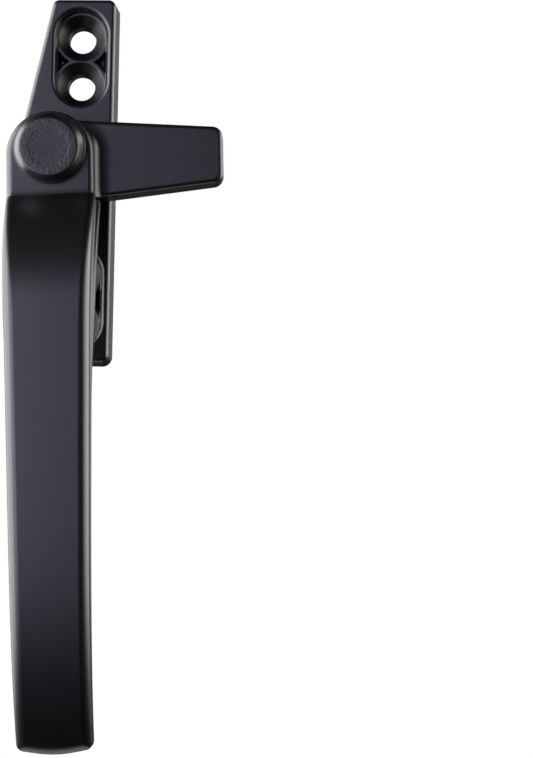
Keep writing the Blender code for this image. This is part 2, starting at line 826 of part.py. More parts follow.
PARTS = collection("window_cam_handle")
CUTTERS = collection("cutters")

coat = material("black_powder_coat", (0.030, 0.029, 0.034), 0.42, 0.0)
cap_coat = material("black_textured_plastic", (0.028, 0.027, 0.031), 0.55, 0.0)
steel = material("zinc_plated_steel", (0.55, 0.55, 0.56), 0.35, 1.0)
spring_steel = material("spring_steel", (0.35, 0.34, 0.33), 0.30, 1.0)
acetal = material("white_acetal", (0.80, 0.79, 0.76), 0.45, 0.0)

lever_axis = make_lever_axis()
make_base_plate(coat)
make_pivot_set(steel, spring_steel, acetal)
make_lever(lever_axis, coat)
make_tongue(lever_axis, coat)
make_tongue_screws(lever_axis, steel)
make_hub_bush(lever_axis, acetal)
make_cap(lever_axis, cap_coat)
bpy.context.view_layer.update()
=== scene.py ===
"""Looks of the window cam handle.

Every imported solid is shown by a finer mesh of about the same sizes, with softened edges and a worked
finish, between soft side lamps with a frontal fill, on white.
"""

import json
import math

import bmesh
import bpy
from mathutils import Matrix, Vector


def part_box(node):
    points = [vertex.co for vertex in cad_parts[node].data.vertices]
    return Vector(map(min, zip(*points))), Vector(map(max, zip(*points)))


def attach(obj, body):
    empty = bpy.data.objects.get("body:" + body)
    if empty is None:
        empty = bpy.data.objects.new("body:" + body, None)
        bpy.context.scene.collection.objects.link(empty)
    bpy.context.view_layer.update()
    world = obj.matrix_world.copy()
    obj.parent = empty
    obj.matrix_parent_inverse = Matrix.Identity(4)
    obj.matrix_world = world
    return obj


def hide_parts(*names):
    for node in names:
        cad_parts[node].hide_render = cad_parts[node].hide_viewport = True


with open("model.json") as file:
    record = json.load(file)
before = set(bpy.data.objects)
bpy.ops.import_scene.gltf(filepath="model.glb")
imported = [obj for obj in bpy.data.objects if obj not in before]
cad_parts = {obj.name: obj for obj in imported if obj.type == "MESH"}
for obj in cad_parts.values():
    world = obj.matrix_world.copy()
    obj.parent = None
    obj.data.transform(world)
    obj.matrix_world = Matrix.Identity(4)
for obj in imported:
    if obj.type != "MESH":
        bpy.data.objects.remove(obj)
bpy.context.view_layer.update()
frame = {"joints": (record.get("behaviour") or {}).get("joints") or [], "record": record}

# Sizes are in metres. Depths count from the plate's back face towards the room, along -Y.
PLATE_LOW, PLATE_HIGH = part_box("base_plate")
PLATE_THICKNESS = -PLATE_LOW.y
PLATE_TOP_CUTBACK = 0.0011
PLATE_TOP_TILT = 0.0003
PLATE_DRAFT = 0.00055
PLATE_CORNER = 0.0020
PLATE_EDGE = 0.0008
PLATE_BACK_EDGE = 0.0002
LOBE_FLANK = 0.0051
LOBE_CORNER = 0.0040

# Screw pockets; a pit's mouth and flare are shares of its outline
POCKET_PITCH = 0.0480
PAIR_PITCH = 0.0096
POCKET_WIDTH = 0.0101
POCKET_DEPTH = 0.0016
POCKET_DRAFT = 0.00015
POCKET_RIM = 0.0009
UPPER_POCKET_TRIM = 0.0005
HOLE_DROP = 0.0003
POCKET_FILLET = 0.0002
SCREW_HOLE_RADIUS = 0.0027
SCREW_LAND = 0.0035
SCREW_HOLE_EDGE = 0.00015
COUNTERSINK_RADIUS = 0.0047
COUNTERSINK_EDGE = 0.00028
COUNTERSINK_FLARE = 0.00012
PIT_DEPTH = 0.0022
PIT_SPARED_RADIUS = 0.00535
PIT_WALL = 0.0001
PIT_ROUND = 0.0006
PIT_MOUTH = 1.04
PIT_FLARE = 1.14

# Pivot and the round pieces on it
PIVOT = Vector(frame["joints"][0]["pos_m"])
CLEARANCE = 0.0003
PIN_RADIUS = 0.0030
BUSH_BORE = PIN_RADIUS + CLEARANCE
BUSH_WALL = 0.0008
TAIL_LIP = 0.0010
TAIL_THICKNESS = 0.0012
PIN_HEAD_THICKNESS = 0.0015
PIN_EDGE = 0.0003
WASHER_EDGE = 0.0001
BORE_EDGE = 0.0002
WAVE_HEIGHT = 0.00015
WAVE_WASHER_THICKNESS = 0.0003
WAVE_COUNT = 3
STOP_EDGE = 0.0001

# Lever
LEVER_LEAN = math.radians(2.0)
HUB_RADIUS = 0.0085
HUB_DROP = 0.0007
HUB_WALL = 0.0006
HUB_THICKNESS = 0.0095
HUB_BORE = BUSH_BORE + BUSH_WALL + CLEARANCE
CAP_BORE = 0.0057
CAP_BORE_DEPTH = 0.0024
NECK_TOP = 0.0089
NECK_RUN = 0.0256
NECK_POWER = 2.6
NECK_BACK_TOP = 0.0104
NECK_BACK_RUN = 0.0270
NECK_BACK_POWER = 1.7
NECK_CREASE = 0.0004
CREASE_SKEW = 0.03
CREASE_LIFT = 0.00015
CREASE_SPREAD = 0.0080
GRIP_LENGTH = 0.1157
GRIP_RISE = 0.0128
GRIP_THICKNESS = 0.0084
GRIP_ROLL = 0.0095
GRIP_ROLL_POWER = 5.0
GRIP_END_THICKNESS = 0.0062
GRIP_END_HALF_WIDTH = 0.00715
GRIP_END_SAG = 0.0013
GRIP_END_CORNER = 0.0016
GRIP_END_ROUND = 0.0200
GRIP_TAPER_BLEND = 0.0200
GRIP_EDGE = 0.00205
GRIP_WAIST = 0.0002
GRIP_WAIST_POWER = 3.0
HUB_EDGE = 0.0013
LEVER_BACK_EDGE = 0.0010
FLARE_LEAST = 0.0001
FLARE_NECK = 0.00062
FLARE_START = 0.0030
FLARE_FADE_TOP = 0.0280
FLARE_FADE_BOTTOM = 0.0500
FLARE_PLACE = 0.35
FLARE_RUN = 1.3

# Tongue
TONGUE_REACH = 0.0336
TONGUE_THICKNESS = 0.0057
TONGUE_TIP_TOP = 0.0052
TONGUE_TIP_BOTTOM = 0.0060
TONGUE_ROOT_TOP = 0.0071
TONGUE_ROOT_BOTTOM = 0.0087
TONGUE_KNEE = 0.0110
TONGUE_CORNER = 0.0022
TONGUE_EDGE = 0.0009
TONGUE_BACK_EDGE = 0.0003
TONGUE_DRAFT = 0.0002
SWELL_WIDTH = 0.0019
SWELL_BEND = 0.0090
SWELL_GRID = 0.0003
ROOT_THICKNESS = 0.0037
ROOT_CORNER = 0.0015
LAP_COVER = 0.0019
LAP_TOP = 0.0040
LIP_WIDTH = 0.0011
LIP_ROUND = 0.0055
LIP_CORNER = 0.0004
LIP_BEND = 0.0022
LIP_TURN = math.radians(60)
LIP_EDGE = HUB_RADIUS + LIP_WIDTH
LIP_TOP = 0.0057

# Screws behind the tongue, and the stop pin's slot
SCREW_RADIUS = 0.0010
SCREW_HEAD_RADIUS = 0.0018
SCREW_HEAD_DEPTH = 0.0009
SCREW_COVER = 0.0018
SCREW_EDGE = 0.0003
SOCKET_RADIUS = 0.0008
SOCKET_DEPTH = 0.0007
SOCKET_SIDES = 6
STOP_RADIUS = 0.0006
STOP_REACH = 0.0019
STOP_WALL = 0.0004
STOP_ANGLE = math.radians(80)
STOP_TURN = math.radians(90)

# Cap
CAP_RADIUS = 0.0070
CAP_FACE_RADIUS = 0.0057
CAP_FACE_EDGE = 0.0008
CAP_BEVEL_RADIUS = 0.0066
CAP_BEVEL_HEIGHT = 0.0016
CAP_BEVEL_EDGE = 0.0005
CAP_WALL_RADIUS = 0.00672
CAP_FLANGE_THICKNESS = 0.0003
CAP_FLANGE_EDGE = 0.00015
CAP_SKEW = 0.00036
CAP_CROWN = 0.0010
CAP_RING_RADIUS = 0.0036
CAP_RING_DROP = 0.00004
CAP_RING_WIDTH = 0.0005
SPIGOT_BORE = 0.0048
SPIGOT_RADIUS = 0.0054
SPIGOT_REACH = 0.0016

# Finishes: colours, roughness from and to, heights in metres, and noise in features to the metre
NOISE_MIDDLE = (0.3, 0.7)
COAT_DARK = (0.0010, 0.0009, 0.0016, 1.0)
COAT_LIGHT = (0.0020, 0.0018, 0.0028, 1.0)
# The next colour is a paler grey blended onto sharp convex edges, by pointiness
COAT_EDGE_PALE = (0.020, 0.019, 0.022, 1.0)
COAT_SPECK = (0.055, 0.053, 0.055, 1.0)
COAT_ROUGHNESS = (0.35, 0.41)
COAT_GLOSS = 0.8
CLOUD_SCALE = 90.0
PEEL_SCALE = 1900.0
PEEL_HEIGHT = 0.00002
GRAIN_SCALE = 7000.0
GRAIN_HEIGHT = 0.000005
EDGE_POINTINESS = (0.53, 0.62)
EDGE_PALE_SHARE = 0.35
SPECK_SCALE = 260.0
SPECK_SIZE = (0.020, 0.030)
CAP_DARK = (0.0020, 0.0019, 0.0026, 1.0)
CAP_LIGHT = (0.0060, 0.0057, 0.0070, 1.0)
CAP_ROUGHNESS = (0.36, 0.48)
CAP_GLOSS = 0.7
CAP_SMOOTH_SHARE = 0.2
EROSION_SCALE = 2300.0
EROSION_HEIGHT = 0.00010
ZINC_DARK = (0.48, 0.48, 0.50, 1.0)
ZINC_LIGHT = (0.62, 0.62, 0.63, 1.0)
ZINC_ROUGHNESS = (0.26, 0.40)
SPRING_DARK = (0.30, 0.29, 0.28, 1.0)
SPRING_LIGHT = (0.40, 0.39, 0.38, 1.0)
SPRING_ROUGHNESS = (0.20, 0.34)
METAL_CLOUD_SCALE = 700.0
METAL_MARK_SCALE = 6000.0
METAL_MARK_HEIGHT = 0.000004
ACETAL_DARK = (0.74, 0.73, 0.69, 1.0)
ACETAL_LIGHT = (0.82, 0.81, 0.78, 1.0)
ACETAL_ROUGHNESS = (0.40, 0.52)
ACETAL_MOTTLE_SCALE = 500.0
ACETAL_MARK_SCALE = 5000.0
ACETAL_MARK_HEIGHT = 0.000006
FLOOR_DARK = (0.78, 0.78, 0.78, 1.0)
FLOOR_LIGHT = (0.82, 0.82, 0.82, 1.0)
FLOOR_CLOUD_SCALE = 30.0
FLOOR_ROUGHNESS = 0.9

# Stage
FLOOR_HEIGHT = -0.55
FLOOR_RADIUS = 0.24
FLOOR_BACK = 0.30
WORLD_WHITE = (1.0, 1.0, 1.0, 1.0)
WORLD_DIM = (0.003, 0.003, 0.003, 1.0)
BACKDROP_FADE = (0.990, 0.998)
SIDE_DIRECTION = (0.25, 0.95, 0.15)
SIDE_FADE = (0.972, 0.990)
SIDE_SHARE = 0.12

# Camera, in the photograph's 533 by 758 frame
IMAGE_HEIGHT_PX = 758
FOCAL_LENGTH_PX = 1759.805
SENSOR = 36.0
CAMERA_PLACE = Vector((0.027228, -0.355128, -0.060231))
CAMERA_TILT = math.radians(3.419)
CAMERA_PAN = math.radians(1.804)
CAMERA_ROLL = math.radians(1.023)

# Lamps: (name, azimuth from the front, elevation, distance, width, height, radiance, colour)
NEUTRAL = (1.0, 1.0, 1.0)
COOL = (0.76, 0.74, 1.0)
LAMP_TARGET = Vector((0.0, -0.015, -0.035))
LAMPS = [
    ("left_softbox", -93.0, 10.0, 0.60, 1.04, 0.80, 5.0, NEUTRAL),
    ("left_strip", -61.0, 10.0, 0.62, 0.24, 0.80, 3.2, NEUTRAL),
    ("right_softbox", 104.0, 12.0, 0.60, 0.90, 0.52, 4.4, NEUTRAL),
    ("front_fill", -27.0, 4.0, 0.80, 0.42, 0.60, 4.6, COOL),
]

# Mesh fineness
TURN_STEPS = 96
SMALL_TURN_STEPS = 48
ARC_STEPS = 20
EDGE_STEPS = 8
EASE_STEPS = 5
FLARE_STEPS = 8
PIT_STEPS = 24
PIT_SMOOTHINGS = 12
SLOT_STEPS = 24
STATION_SPACING = 0.0005
CUT_PAST = 0.0010
HAIR = 0.0001
MERGE_DISTANCE = 0.000001
SMOOTH_ANGLE = math.radians(32)
QUARTER_TURN = math.radians(90)

# Places that follow from the sizes above
HUB_BACK = -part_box("tongue")[1].y
HUB_FRONT = HUB_BACK + HUB_THICKNESS
TONGUE_FRONT = HUB_BACK + TONGUE_THICKNESS
ROOT_FRONT = HUB_BACK + ROOT_THICKNESS
SCREW_TIP = HUB_FRONT - SCREW_COVER
CAP_BORE_FLOOR = HUB_FRONT - CAP_BORE_DEPTH
CAP_SEAT = HUB_FRONT + CLEARANCE
CAP_TOP = -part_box("cap")[0].y
GRIP_FRONT = HUB_FRONT + GRIP_RISE
GRIP_BACK = GRIP_FRONT - GRIP_THICKNESS
NECK_END = NECK_TOP + NECK_RUN
LAP_X = HUB_RADIUS - LAP_COVER
ROOT_HALF_WIDTH = HUB_RADIUS - HUB_DROP - HUB_WALL - CLEARANCE
SCREW_ROOM = SCREW_HEAD_RADIUS + CLEARANCE + SCREW_EDGE
SCREW_X = ROOT_HALF_WIDTH - SCREW_ROOM
SCREW_Z = SCREW_ROOM - TONGUE_ROOT_BOTTOM
STOP_SLOT_HALF = STOP_RADIUS + CLEARANCE
STOP_CIRCLE = ROOT_HALF_WIDTH - STOP_WALL - STOP_SLOT_HALF
STOP_SLACK = CLEARANCE / STOP_CIRCLE
LEVER_PLACE = Matrix.Translation(PIVOT) @ Matrix.Rotation(-LEVER_LEAN, 4, "Y")


def place(x, z, depth):
    """Return the point at x and z, as deep in front of the plate's back as depth."""
    return Vector((x, -depth, z))


def ramp(value, start, run):
    """Return how far a value has come along a run from its start, held between 0 and 1."""
    return min(max((value - start) / run, 0.0), 1.0)


def softened(share):
    """Return a share that starts and ends its way from 0 to 1 gently."""
    return share * share * (3 - 2 * share)


def rounded_outline(corners, inset, steps=ARC_STEPS):
    """Return the points of a convex outline, drawn in by inset.

    The corners are (x, z, radius), clockwise as seen from the front.
    """
    points = []
    count = len(corners)
    for index, (x, z, radius) in enumerate(corners):
        corner = Vector((x, z))
        before = (corner - Vector(corners[index - 1][:2])).normalized()
        after = (Vector(corners[(index + 1) % count][:2]) - corner).normalized()
        inward_before = Vector((before.y, -before.x))
        inward_after = Vector((after.y, -after.x))
        mitre = (inward_before + inward_after) / (1 + inward_before.dot(inward_after))
        bend = max(radius - inset, HAIR)
        centre = corner + mitre * (inset + bend)
        start = math.atan2(inward_before.y, inward_before.x)
        turn = inward_before.angle_signed(inward_after)
        for step in range(steps + 1):
            angle = start - turn * step / steps
            points.append(centre - bend * Vector((math.cos(angle), math.sin(angle))))
    return points


def rounding(radius, steps=EDGE_STEPS):
    """Return (inset, drop) pairs of a quarter-round edge, from the wall to the face."""
    turns = [QUARTER_TURN * step / steps for step in range(steps + 1)]
    return [(radius * (1 - math.cos(turn)), radius * (1 - math.sin(turn))) for turn in turns]


def rounded_layers(back, front, draft, edge, back_edge):
    """Return slab layers for a drafted wall with a rounded front edge and a softer broken back edge."""
    height = front - back
    layers = [(inset, back + drop) for inset, drop in reversed(rounding(back_edge))]
    for inset, drop in rounding(edge):
        layers.append((draft * (height - drop) / height + inset, front - drop))
    return layers


def eased(corners, steps=EASE_STEPS):
    """Return the points of a path with rounded corners, which are given as (radius, depth, bend)."""
    points = []
    for index, (radius, depth, bend) in enumerate(corners):
        corner = Vector((radius, depth))
        if bend == 0.0:
            points.append(corner)
            continue
        before = (Vector(corners[index - 1][:2]) - corner).normalized()
        after = (Vector(corners[(index + 1) % len(corners)][:2]) - corner).normalized()
        half = before.angle(after) / 2
        centre = corner + (before + after).normalized() * bend / math.sin(half)
        first = corner + before * bend / math.tan(half) - centre
        last = corner + after * bend / math.tan(half) - centre
        start = math.atan2(first.y, first.x)
        turn = -first.angle_signed(last)
        for step in range(steps + 1):
            angle = start + turn * step / steps
            points.append(centre + bend * Vector((math.cos(angle), math.sin(angle))))
    return points


def new_object(name, shape, placing):
    """Turn a finished bmesh into an object, with its place in the vertices."""
    bmesh.ops.remove_doubles(shape, verts=shape.verts, dist=MERGE_DISTANCE)
    bmesh.ops.recalc_face_normals(shape, faces=shape.faces)
    shape.transform(placing)
    mesh = bpy.data.meshes.new(name)
    shape.to_mesh(mesh)
    shape.free()
    made = bpy.data.objects.new(name, mesh)
    bpy.context.scene.collection.objects.link(made)
    return made


def skin(shape, rows):
    """Join rings of as many vertices each with quads."""
    count = len(rows[0])
    for lower, upper in zip(rows, rows[1:]):
        for index in range(count):
            following = (index + 1) % count
            shape.faces.new((lower[index], lower[following], upper[following], upper[index]))


def loft(name, rings, placing=Matrix()):
    """Skin a stack of rings and close both ends."""
    shape = bmesh.new()
    rows = [[shape.verts.new(point) for point in ring] for ring in rings]
    skin(shape, rows)
    shape.faces.new(rows[0])
    shape.faces.new(rows[-1])
    return new_object(name, shape, placing)


def slab(name, corners, layers, placing=Matrix()):
    """Skin an outline that is drawn in by a given inset at each depth: layers of (inset, depth)."""
    rings = []
    for inset, depth in layers:
        rings.append([place(point.x, point.y, depth) for point in rounded_outline(corners, inset)])
    return loft(name, rings, placing)


def turned(name, profile, x=0.0, z=0.0, placing=Matrix(), closed=False, steps=TURN_STEPS):
    """Turn a profile of (radius, depth) points about an axis through x and z that runs front to back.

    An open profile runs from the axis at the front to the axis at the back.
    A closed one is a ring's section.
    """
    shape = bmesh.new()
    turns = [2 * math.pi * step / steps for step in range(steps)]
    rows = []
    for radius, depth in profile:
        around = turns if radius > MERGE_DISTANCE else turns[:1]
        spots = [(x + radius * math.cos(turn), z + radius * math.sin(turn)) for turn in around]
        rows.append([shape.verts.new(place(*spot, depth)) for spot in spots])
    if closed:
        rows.append(rows[0])
    for lower, upper in zip(rows, rows[1:]):
        for index in range(steps):
            following = (index + 1) % steps
            corners = [
                lower[index % len(lower)],
                lower[following % len(lower)],
                upper[following % len(upper)],
                upper[index % len(upper)],
            ]
            shape.faces.new(list(dict.fromkeys(corners)))
    return new_object(name, shape, placing)


def settle(thing):
    """Replace an object's mesh by what its modifiers make of it."""
    graph = bpy.context.evaluated_depsgraph_get()
    mesh = bpy.data.meshes.new_from_object(thing.evaluated_get(graph))
    thing.modifiers.clear()
    thing.data = mesh


def combine(thing, tools, operation="DIFFERENCE"):
    """Cut a piece with each tool, or join each tool to it, and throw the tools away."""
    for tool in tools:
        step = thing.modifiers.new(tool.name, "BOOLEAN")
        step.operation = operation
        step.object = tool
        step.solver = "EXACT"
    settle(thing)
    for tool in tools:
        bpy.data.objects.remove(tool)


def dress(piece, node, finish):
    """Shade a piece smoothly, give it its finish, and let it stand for a node on that node's body."""
    bodies = frame["record"]["behaviour"]["bodies"]
    body = next(name for name, members in bodies.items() if node in members)
    mesh = piece.data
    mesh.materials.clear()
    mesh.materials.append(finish)
    mesh.shade_smooth()
    mesh.set_sharp_from_angle(angle=SMOOTH_ANGLE)
    weighted = piece.modifiers.new("weighted_normals", "WEIGHTED_NORMAL")
    weighted.keep_sharp = True
    weighted.mode = "FACE_AREA"
    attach(piece, body)
    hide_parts(node)
    return piece


def plate_corners():
    """Return the base plate's outline, with the lobe that carries the pivot on its left."""
    half_width = PLATE_HIGH.x
    lobe = PLATE_LOW.x
    return [
        (PLATE_TOP_CUTBACK - half_width, PLATE_HIGH.z - PLATE_TOP_TILT, PLATE_CORNER),
        (half_width, PLATE_HIGH.z, PLATE_CORNER),
        (half_width, PLATE_LOW.z, PLATE_CORNER),
        (-half_width, PLATE_LOW.z, PLATE_CORNER),
        (lobe, PIVOT.z - LOBE_FLANK, LOBE_CORNER),
        (lobe, PIVOT.z, LOBE_CORNER),
    ]


def pocket_corners(middle, trim):
    """Return a round-ended pocket's outline about a height on the screw line, trimmed at its foot."""
    half = POCKET_WIDTH / 2
    top = middle + PAIR_PITCH / 2 + half
    bottom = middle - PAIR_PITCH / 2 - half + trim
    return [(-half, top, half), (half, top, half), (half, bottom, half), (-half, bottom, half)]


def pocket_layers(floor):
    """Return the layers of a pocket's cutter: a filleted floor, a drafted wall and a rounded rim."""
    shoulder = PLATE_THICKNESS - POCKET_RIM
    layers = [(POCKET_DRAFT + inset, floor + drop) for inset, drop in reversed(rounding(POCKET_FILLET))]
    for step in range(EDGE_STEPS):
        turn = QUARTER_TURN * step / EDGE_STEPS
        layers.append((POCKET_RIM * (math.cos(turn) - 1), shoulder + POCKET_RIM * math.sin(turn)))
    layers.append((-POCKET_RIM - HAIR, PLATE_THICKNESS + HAIR / 4))
    layers.append((-POCKET_RIM - HAIR, PLATE_THICKNESS + CUT_PAST))
    return layers


def screw_hole(label, z, floor):
    """Return the cutter of a countersunk hole with softened edges."""
    path = [
        (0.0, floor + CUT_PAST, 0.0),
        (COUNTERSINK_RADIUS + COUNTERSINK_FLARE, floor + CUT_PAST, 0.0),
        (COUNTERSINK_RADIUS + COUNTERSINK_FLARE, floor, 0.0),
        (COUNTERSINK_RADIUS, floor, COUNTERSINK_EDGE),
        (SCREW_HOLE_RADIUS, SCREW_LAND, COUNTERSINK_EDGE),
        (SCREW_HOLE_RADIUS, SCREW_HOLE_EDGE, 0.0),
        (SCREW_HOLE_RADIUS + 2 * SCREW_HOLE_EDGE, -SCREW_HOLE_EDGE, 0.0),
        (0.0, -SCREW_HOLE_EDGE, 0.0),
    ]
    return turned(f"{label}_screw_hole", eased(path), z=z)


def pit_outline(side):
    """Return the soft three-cornered outline of a pit beside two holes, about the pocket's middle."""
    wall = POCKET_WIDTH / 2 - POCKET_DRAFT - PIT_WALL
    half = PAIR_PITCH / 2
    apex = math.sqrt(PIT_SPARED_RADIUS**2 - half**2)
    run = [apex + (wall - apex) * step / PIT_STEPS for step in range(PIT_STEPS + 1)]
    edge = [(x, half - math.sqrt(PIT_SPARED_RADIUS**2 - x**2)) for x in run]
    top = edge[-1][1]
    points = [Vector((x, z)) for x, z in edge]
    points += [Vector((wall, top - 2 * top * step / PIT_STEPS)) for step in range(1, PIT_STEPS)]
    points += [Vector((x, -z)) for x, z in reversed(edge[1:])]
    for _ in range(PIT_SMOOTHINGS):
        points = [
            (points[index - 1] + point * 2 + points[(index + 1) % len(points)]) / 4
            for index, point in enumerate(points)
        ]
    return [Vector((side * point.x, point.y)) for point in points]


def make_pit(label, side, middle, floor):
    """Return the bowl-shaped cutter of one pit."""
    outline = pit_outline(side)
    centre = sum(outline, Vector((0.0, 0.0))) / len(outline)
    rings = []
    sections = []
    for step in range(1, EDGE_STEPS + 1):
        turn = QUARTER_TURN * step / EDGE_STEPS
        fall = (PIT_DEPTH - PIT_ROUND) * math.cos(turn)
        sections.append((math.sin(turn), floor - PIT_ROUND / 2 - fall))
    sections.append((PIT_MOUTH, floor - PIT_ROUND / 8))
    sections.append((PIT_FLARE, floor + HAIR / 2))
    for share, depth in sections:
        points = [centre + (point - centre) * share for point in outline]
        rings.append([place(point.x, middle + point.y, depth) for point in points])
    return loft(f"{label}_pit", rings)


def stop_place():
    """Return the stop pin's x and z: its angle is counted on the lever as it rests."""
    angle = STOP_ANGLE + LEVER_LEAN
    return PIVOT.x + STOP_CIRCLE * math.cos(angle), PIVOT.z + STOP_CIRCLE * math.sin(angle)


def round_size(node):
    """Return a round node's radius and its back and front depths."""
    low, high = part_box(node)
    return (high.z - low.z) / 2, -high.y, -low.y


def pocket_tools(label, middle, trim):
    """Return the cutters of a screw pocket: its recess, two countersunk holes and the pits beside them."""
    floor = PLATE_THICKNESS - POCKET_DEPTH
    holes = middle - HOLE_DROP
    return [
        slab(f"{label}_pocket", pocket_corners(middle, trim), pocket_layers(floor)),
        screw_hole(f"{label}_high", holes + PAIR_PITCH / 2, floor),
        screw_hole(f"{label}_low", holes - PAIR_PITCH / 2, floor),
        make_pit(f"{label}_left", -1, holes, floor),
        make_pit(f"{label}_right", 1, holes, floor),
    ]


def pivot_bore():
    """Return the cutter of the pin's bore, with a seat for each of the plate's two washers."""
    recess, _, washer_front = round_size("tail_washer")
    seat, washer_back, _ = round_size("thrust_washer")
    path = [
        (0.0, PLATE_THICKNESS + CUT_PAST, 0.0),
        (seat + CLEARANCE + BORE_EDGE, PLATE_THICKNESS + CUT_PAST, 0.0),
        (seat + CLEARANCE + BORE_EDGE, PLATE_THICKNESS, 0.0),
        (seat + CLEARANCE, PLATE_THICKNESS - BORE_EDGE, 0.0),
        (seat + CLEARANCE, washer_back - CLEARANCE, 0.0),
        (BUSH_BORE, washer_back - CLEARANCE, 0.0),
        (BUSH_BORE, washer_front + CLEARANCE, 0.0),
        (recess + CLEARANCE, washer_front + CLEARANCE, BORE_EDGE),
        (recess + CLEARANCE, BORE_EDGE, 0.0),
        (recess + CLEARANCE + 2 * BORE_EDGE, -BORE_EDGE, 0.0),
        (0.0, -BORE_EDGE, 0.0),
    ]
    return turned("pivot_bore", eased(path), PIVOT.x, PIVOT.z)


def stop_hole():
    """Return the cutter of the blind hole that holds the stop pin."""
    bottom = -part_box("stop_pin")[1].y - CLEARANCE
    path = [
        (0.0, PLATE_THICKNESS + CUT_PAST),
        (STOP_SLOT_HALF, PLATE_THICKNESS + CUT_PAST),
        (STOP_SLOT_HALF, bottom),
        (0.0, bottom),
    ]
    return turned("stop_hole", path, *stop_place(), steps=SMALL_TURN_STEPS)


def make_base_plate(finish):
    """Cast the plate and cut its screw pockets, pivot bore and stop hole."""
    layers = rounded_layers(0.0, PLATE_THICKNESS, PLATE_DRAFT, PLATE_EDGE, PLATE_BACK_EDGE)
    plate = slab("plate_casting", plate_corners(), layers)
    tools = [
        *pocket_tools("upper", POCKET_PITCH / 2, UPPER_POCKET_TRIM),
        *pocket_tools("lower", -POCKET_PITCH / 2, 0.0),
        pivot_bore(),
        stop_hole(),
    ]
    combine(plate, tools)
    return dress(plate, "base_plate", finish)


def make_pivot_pin(finish):
    """Turn the headed pin with its peened tail."""
    head, back, front = round_size("pivot_pin")
    underside = front - PIN_HEAD_THICKNESS
    tail_top = back + TAIL_THICKNESS
    path = [
        (0.0, front, 0.0),
        (head, front, PIN_EDGE),
        (head, underside, WASHER_EDGE),
        (PIN_RADIUS, underside, WASHER_EDGE),
        (PIN_RADIUS, tail_top, WASHER_EDGE),
        (PIN_RADIUS + TAIL_LIP, tail_top, PIN_EDGE),
        (PIN_RADIUS, back, PIN_EDGE),
        (0.0, back, 0.0),
    ]
    pin = turned("pivot_rivet", eased(path), PIVOT.x, PIVOT.z)
    return dress(pin, "pivot_pin", finish)


def make_ring(name, radius, back, front):
    """Turn a ring with broken edges that fits the pivot pin."""
    section = [
        (radius, front, WASHER_EDGE),
        (radius, back, WASHER_EDGE),
        (BUSH_BORE, back, WASHER_EDGE),
        (BUSH_BORE, front, WASHER_EDGE),
    ]
    return turned(name, eased(section), PIVOT.x, PIVOT.z, closed=True)


def make_washer(name, node, finish):
    """Turn a plain washer or sleeve to a node's radius and depths."""
    return dress(make_ring(name, *round_size(node)), node, finish)


def make_wave_washer(finish):
    """Turn a thin ring and wave it about its middle."""
    radius, back, front = round_size("wave_washer")
    middle = (back + front) / 2
    half = WAVE_WASHER_THICKNESS / 2
    washer = make_ring("spring_wave", radius, middle - half, middle + half)
    for vertex in washer.data.vertices:
        angle = math.atan2(vertex.co.z - PIVOT.z, vertex.co.x - PIVOT.x)
        vertex.co.y -= WAVE_HEIGHT * math.sin(WAVE_COUNT * angle)
    return dress(washer, "wave_washer", finish)


def make_stop_pin(finish):
    """Turn the stop pin with rounded ends."""
    radius, back, front = round_size("stop_pin")
    path = [(0.0, front, 0.0), (radius, front, STOP_EDGE), (radius, back, STOP_EDGE), (0.0, back, 0.0)]
    pin = turned("stop_dowel", eased(path), *stop_place(), steps=SMALL_TURN_STEPS)
    return dress(pin, "stop_pin", finish)


def lever_corners():
    """Return the lever's outline: a round hub, straight tapering sides and a bowed end."""
    end = GRIP_LENGTH - GRIP_END_SAG
    hub_top = HUB_RADIUS - HUB_DROP
    return [
        (-HUB_RADIUS, hub_top, HUB_RADIUS),
        (HUB_RADIUS, hub_top, HUB_RADIUS),
        (HUB_RADIUS, -NECK_TOP, GRIP_TAPER_BLEND),
        (GRIP_END_HALF_WIDTH, -end, GRIP_END_CORNER),
        (0.0, -GRIP_LENGTH, GRIP_END_ROUND),
        (-GRIP_END_HALF_WIDTH, -end, GRIP_END_CORNER),
        (-HUB_RADIUS, -NECK_TOP, GRIP_TAPER_BLEND),
    ]


def rise_share(drop, top, run, power):
    """Return how much of a neck's rise is done at a height below the pivot, from a soft start to 1."""
    soft = NECK_CREASE / run
    share = (drop - top) / run
    share = (share + math.sqrt(share**2 + soft**2)) / 2
    return 1 - (1 - min(share, 1.0)) ** power


def grip_share(drop):
    """Return how far along the grip a height below the pivot lies, from 0 to 1."""
    return max((drop - NECK_END) / (GRIP_LENGTH - NECK_END), 0.0)


def lever_front(z):
    """Return the depth of the lever's front face at a height."""
    rise = GRIP_RISE * rise_share(-z, NECK_TOP, NECK_RUN, NECK_POWER)
    return HUB_FRONT + rise - GRIP_ROLL * grip_share(-z) ** GRIP_ROLL_POWER


def lever_back(z):
    """Return the depth of the lever's back face at a height."""
    along = grip_share(-z)
    rise = (GRIP_BACK - HUB_BACK) * rise_share(-z, NECK_BACK_TOP, NECK_BACK_RUN, NECK_BACK_POWER)
    thinning = (GRIP_THICKNESS - GRIP_END_THICKNESS) * along
    return HUB_BACK + rise + thinning - GRIP_ROLL * along**GRIP_ROLL_POWER


def front_edge(z):
    """Return the radius of the lever's rounded front edge at a height: small on the hub, full on the grip."""
    return HUB_EDGE + (GRIP_EDGE - HUB_EDGE) * softened(ramp(-z, NECK_TOP, NECK_RUN))


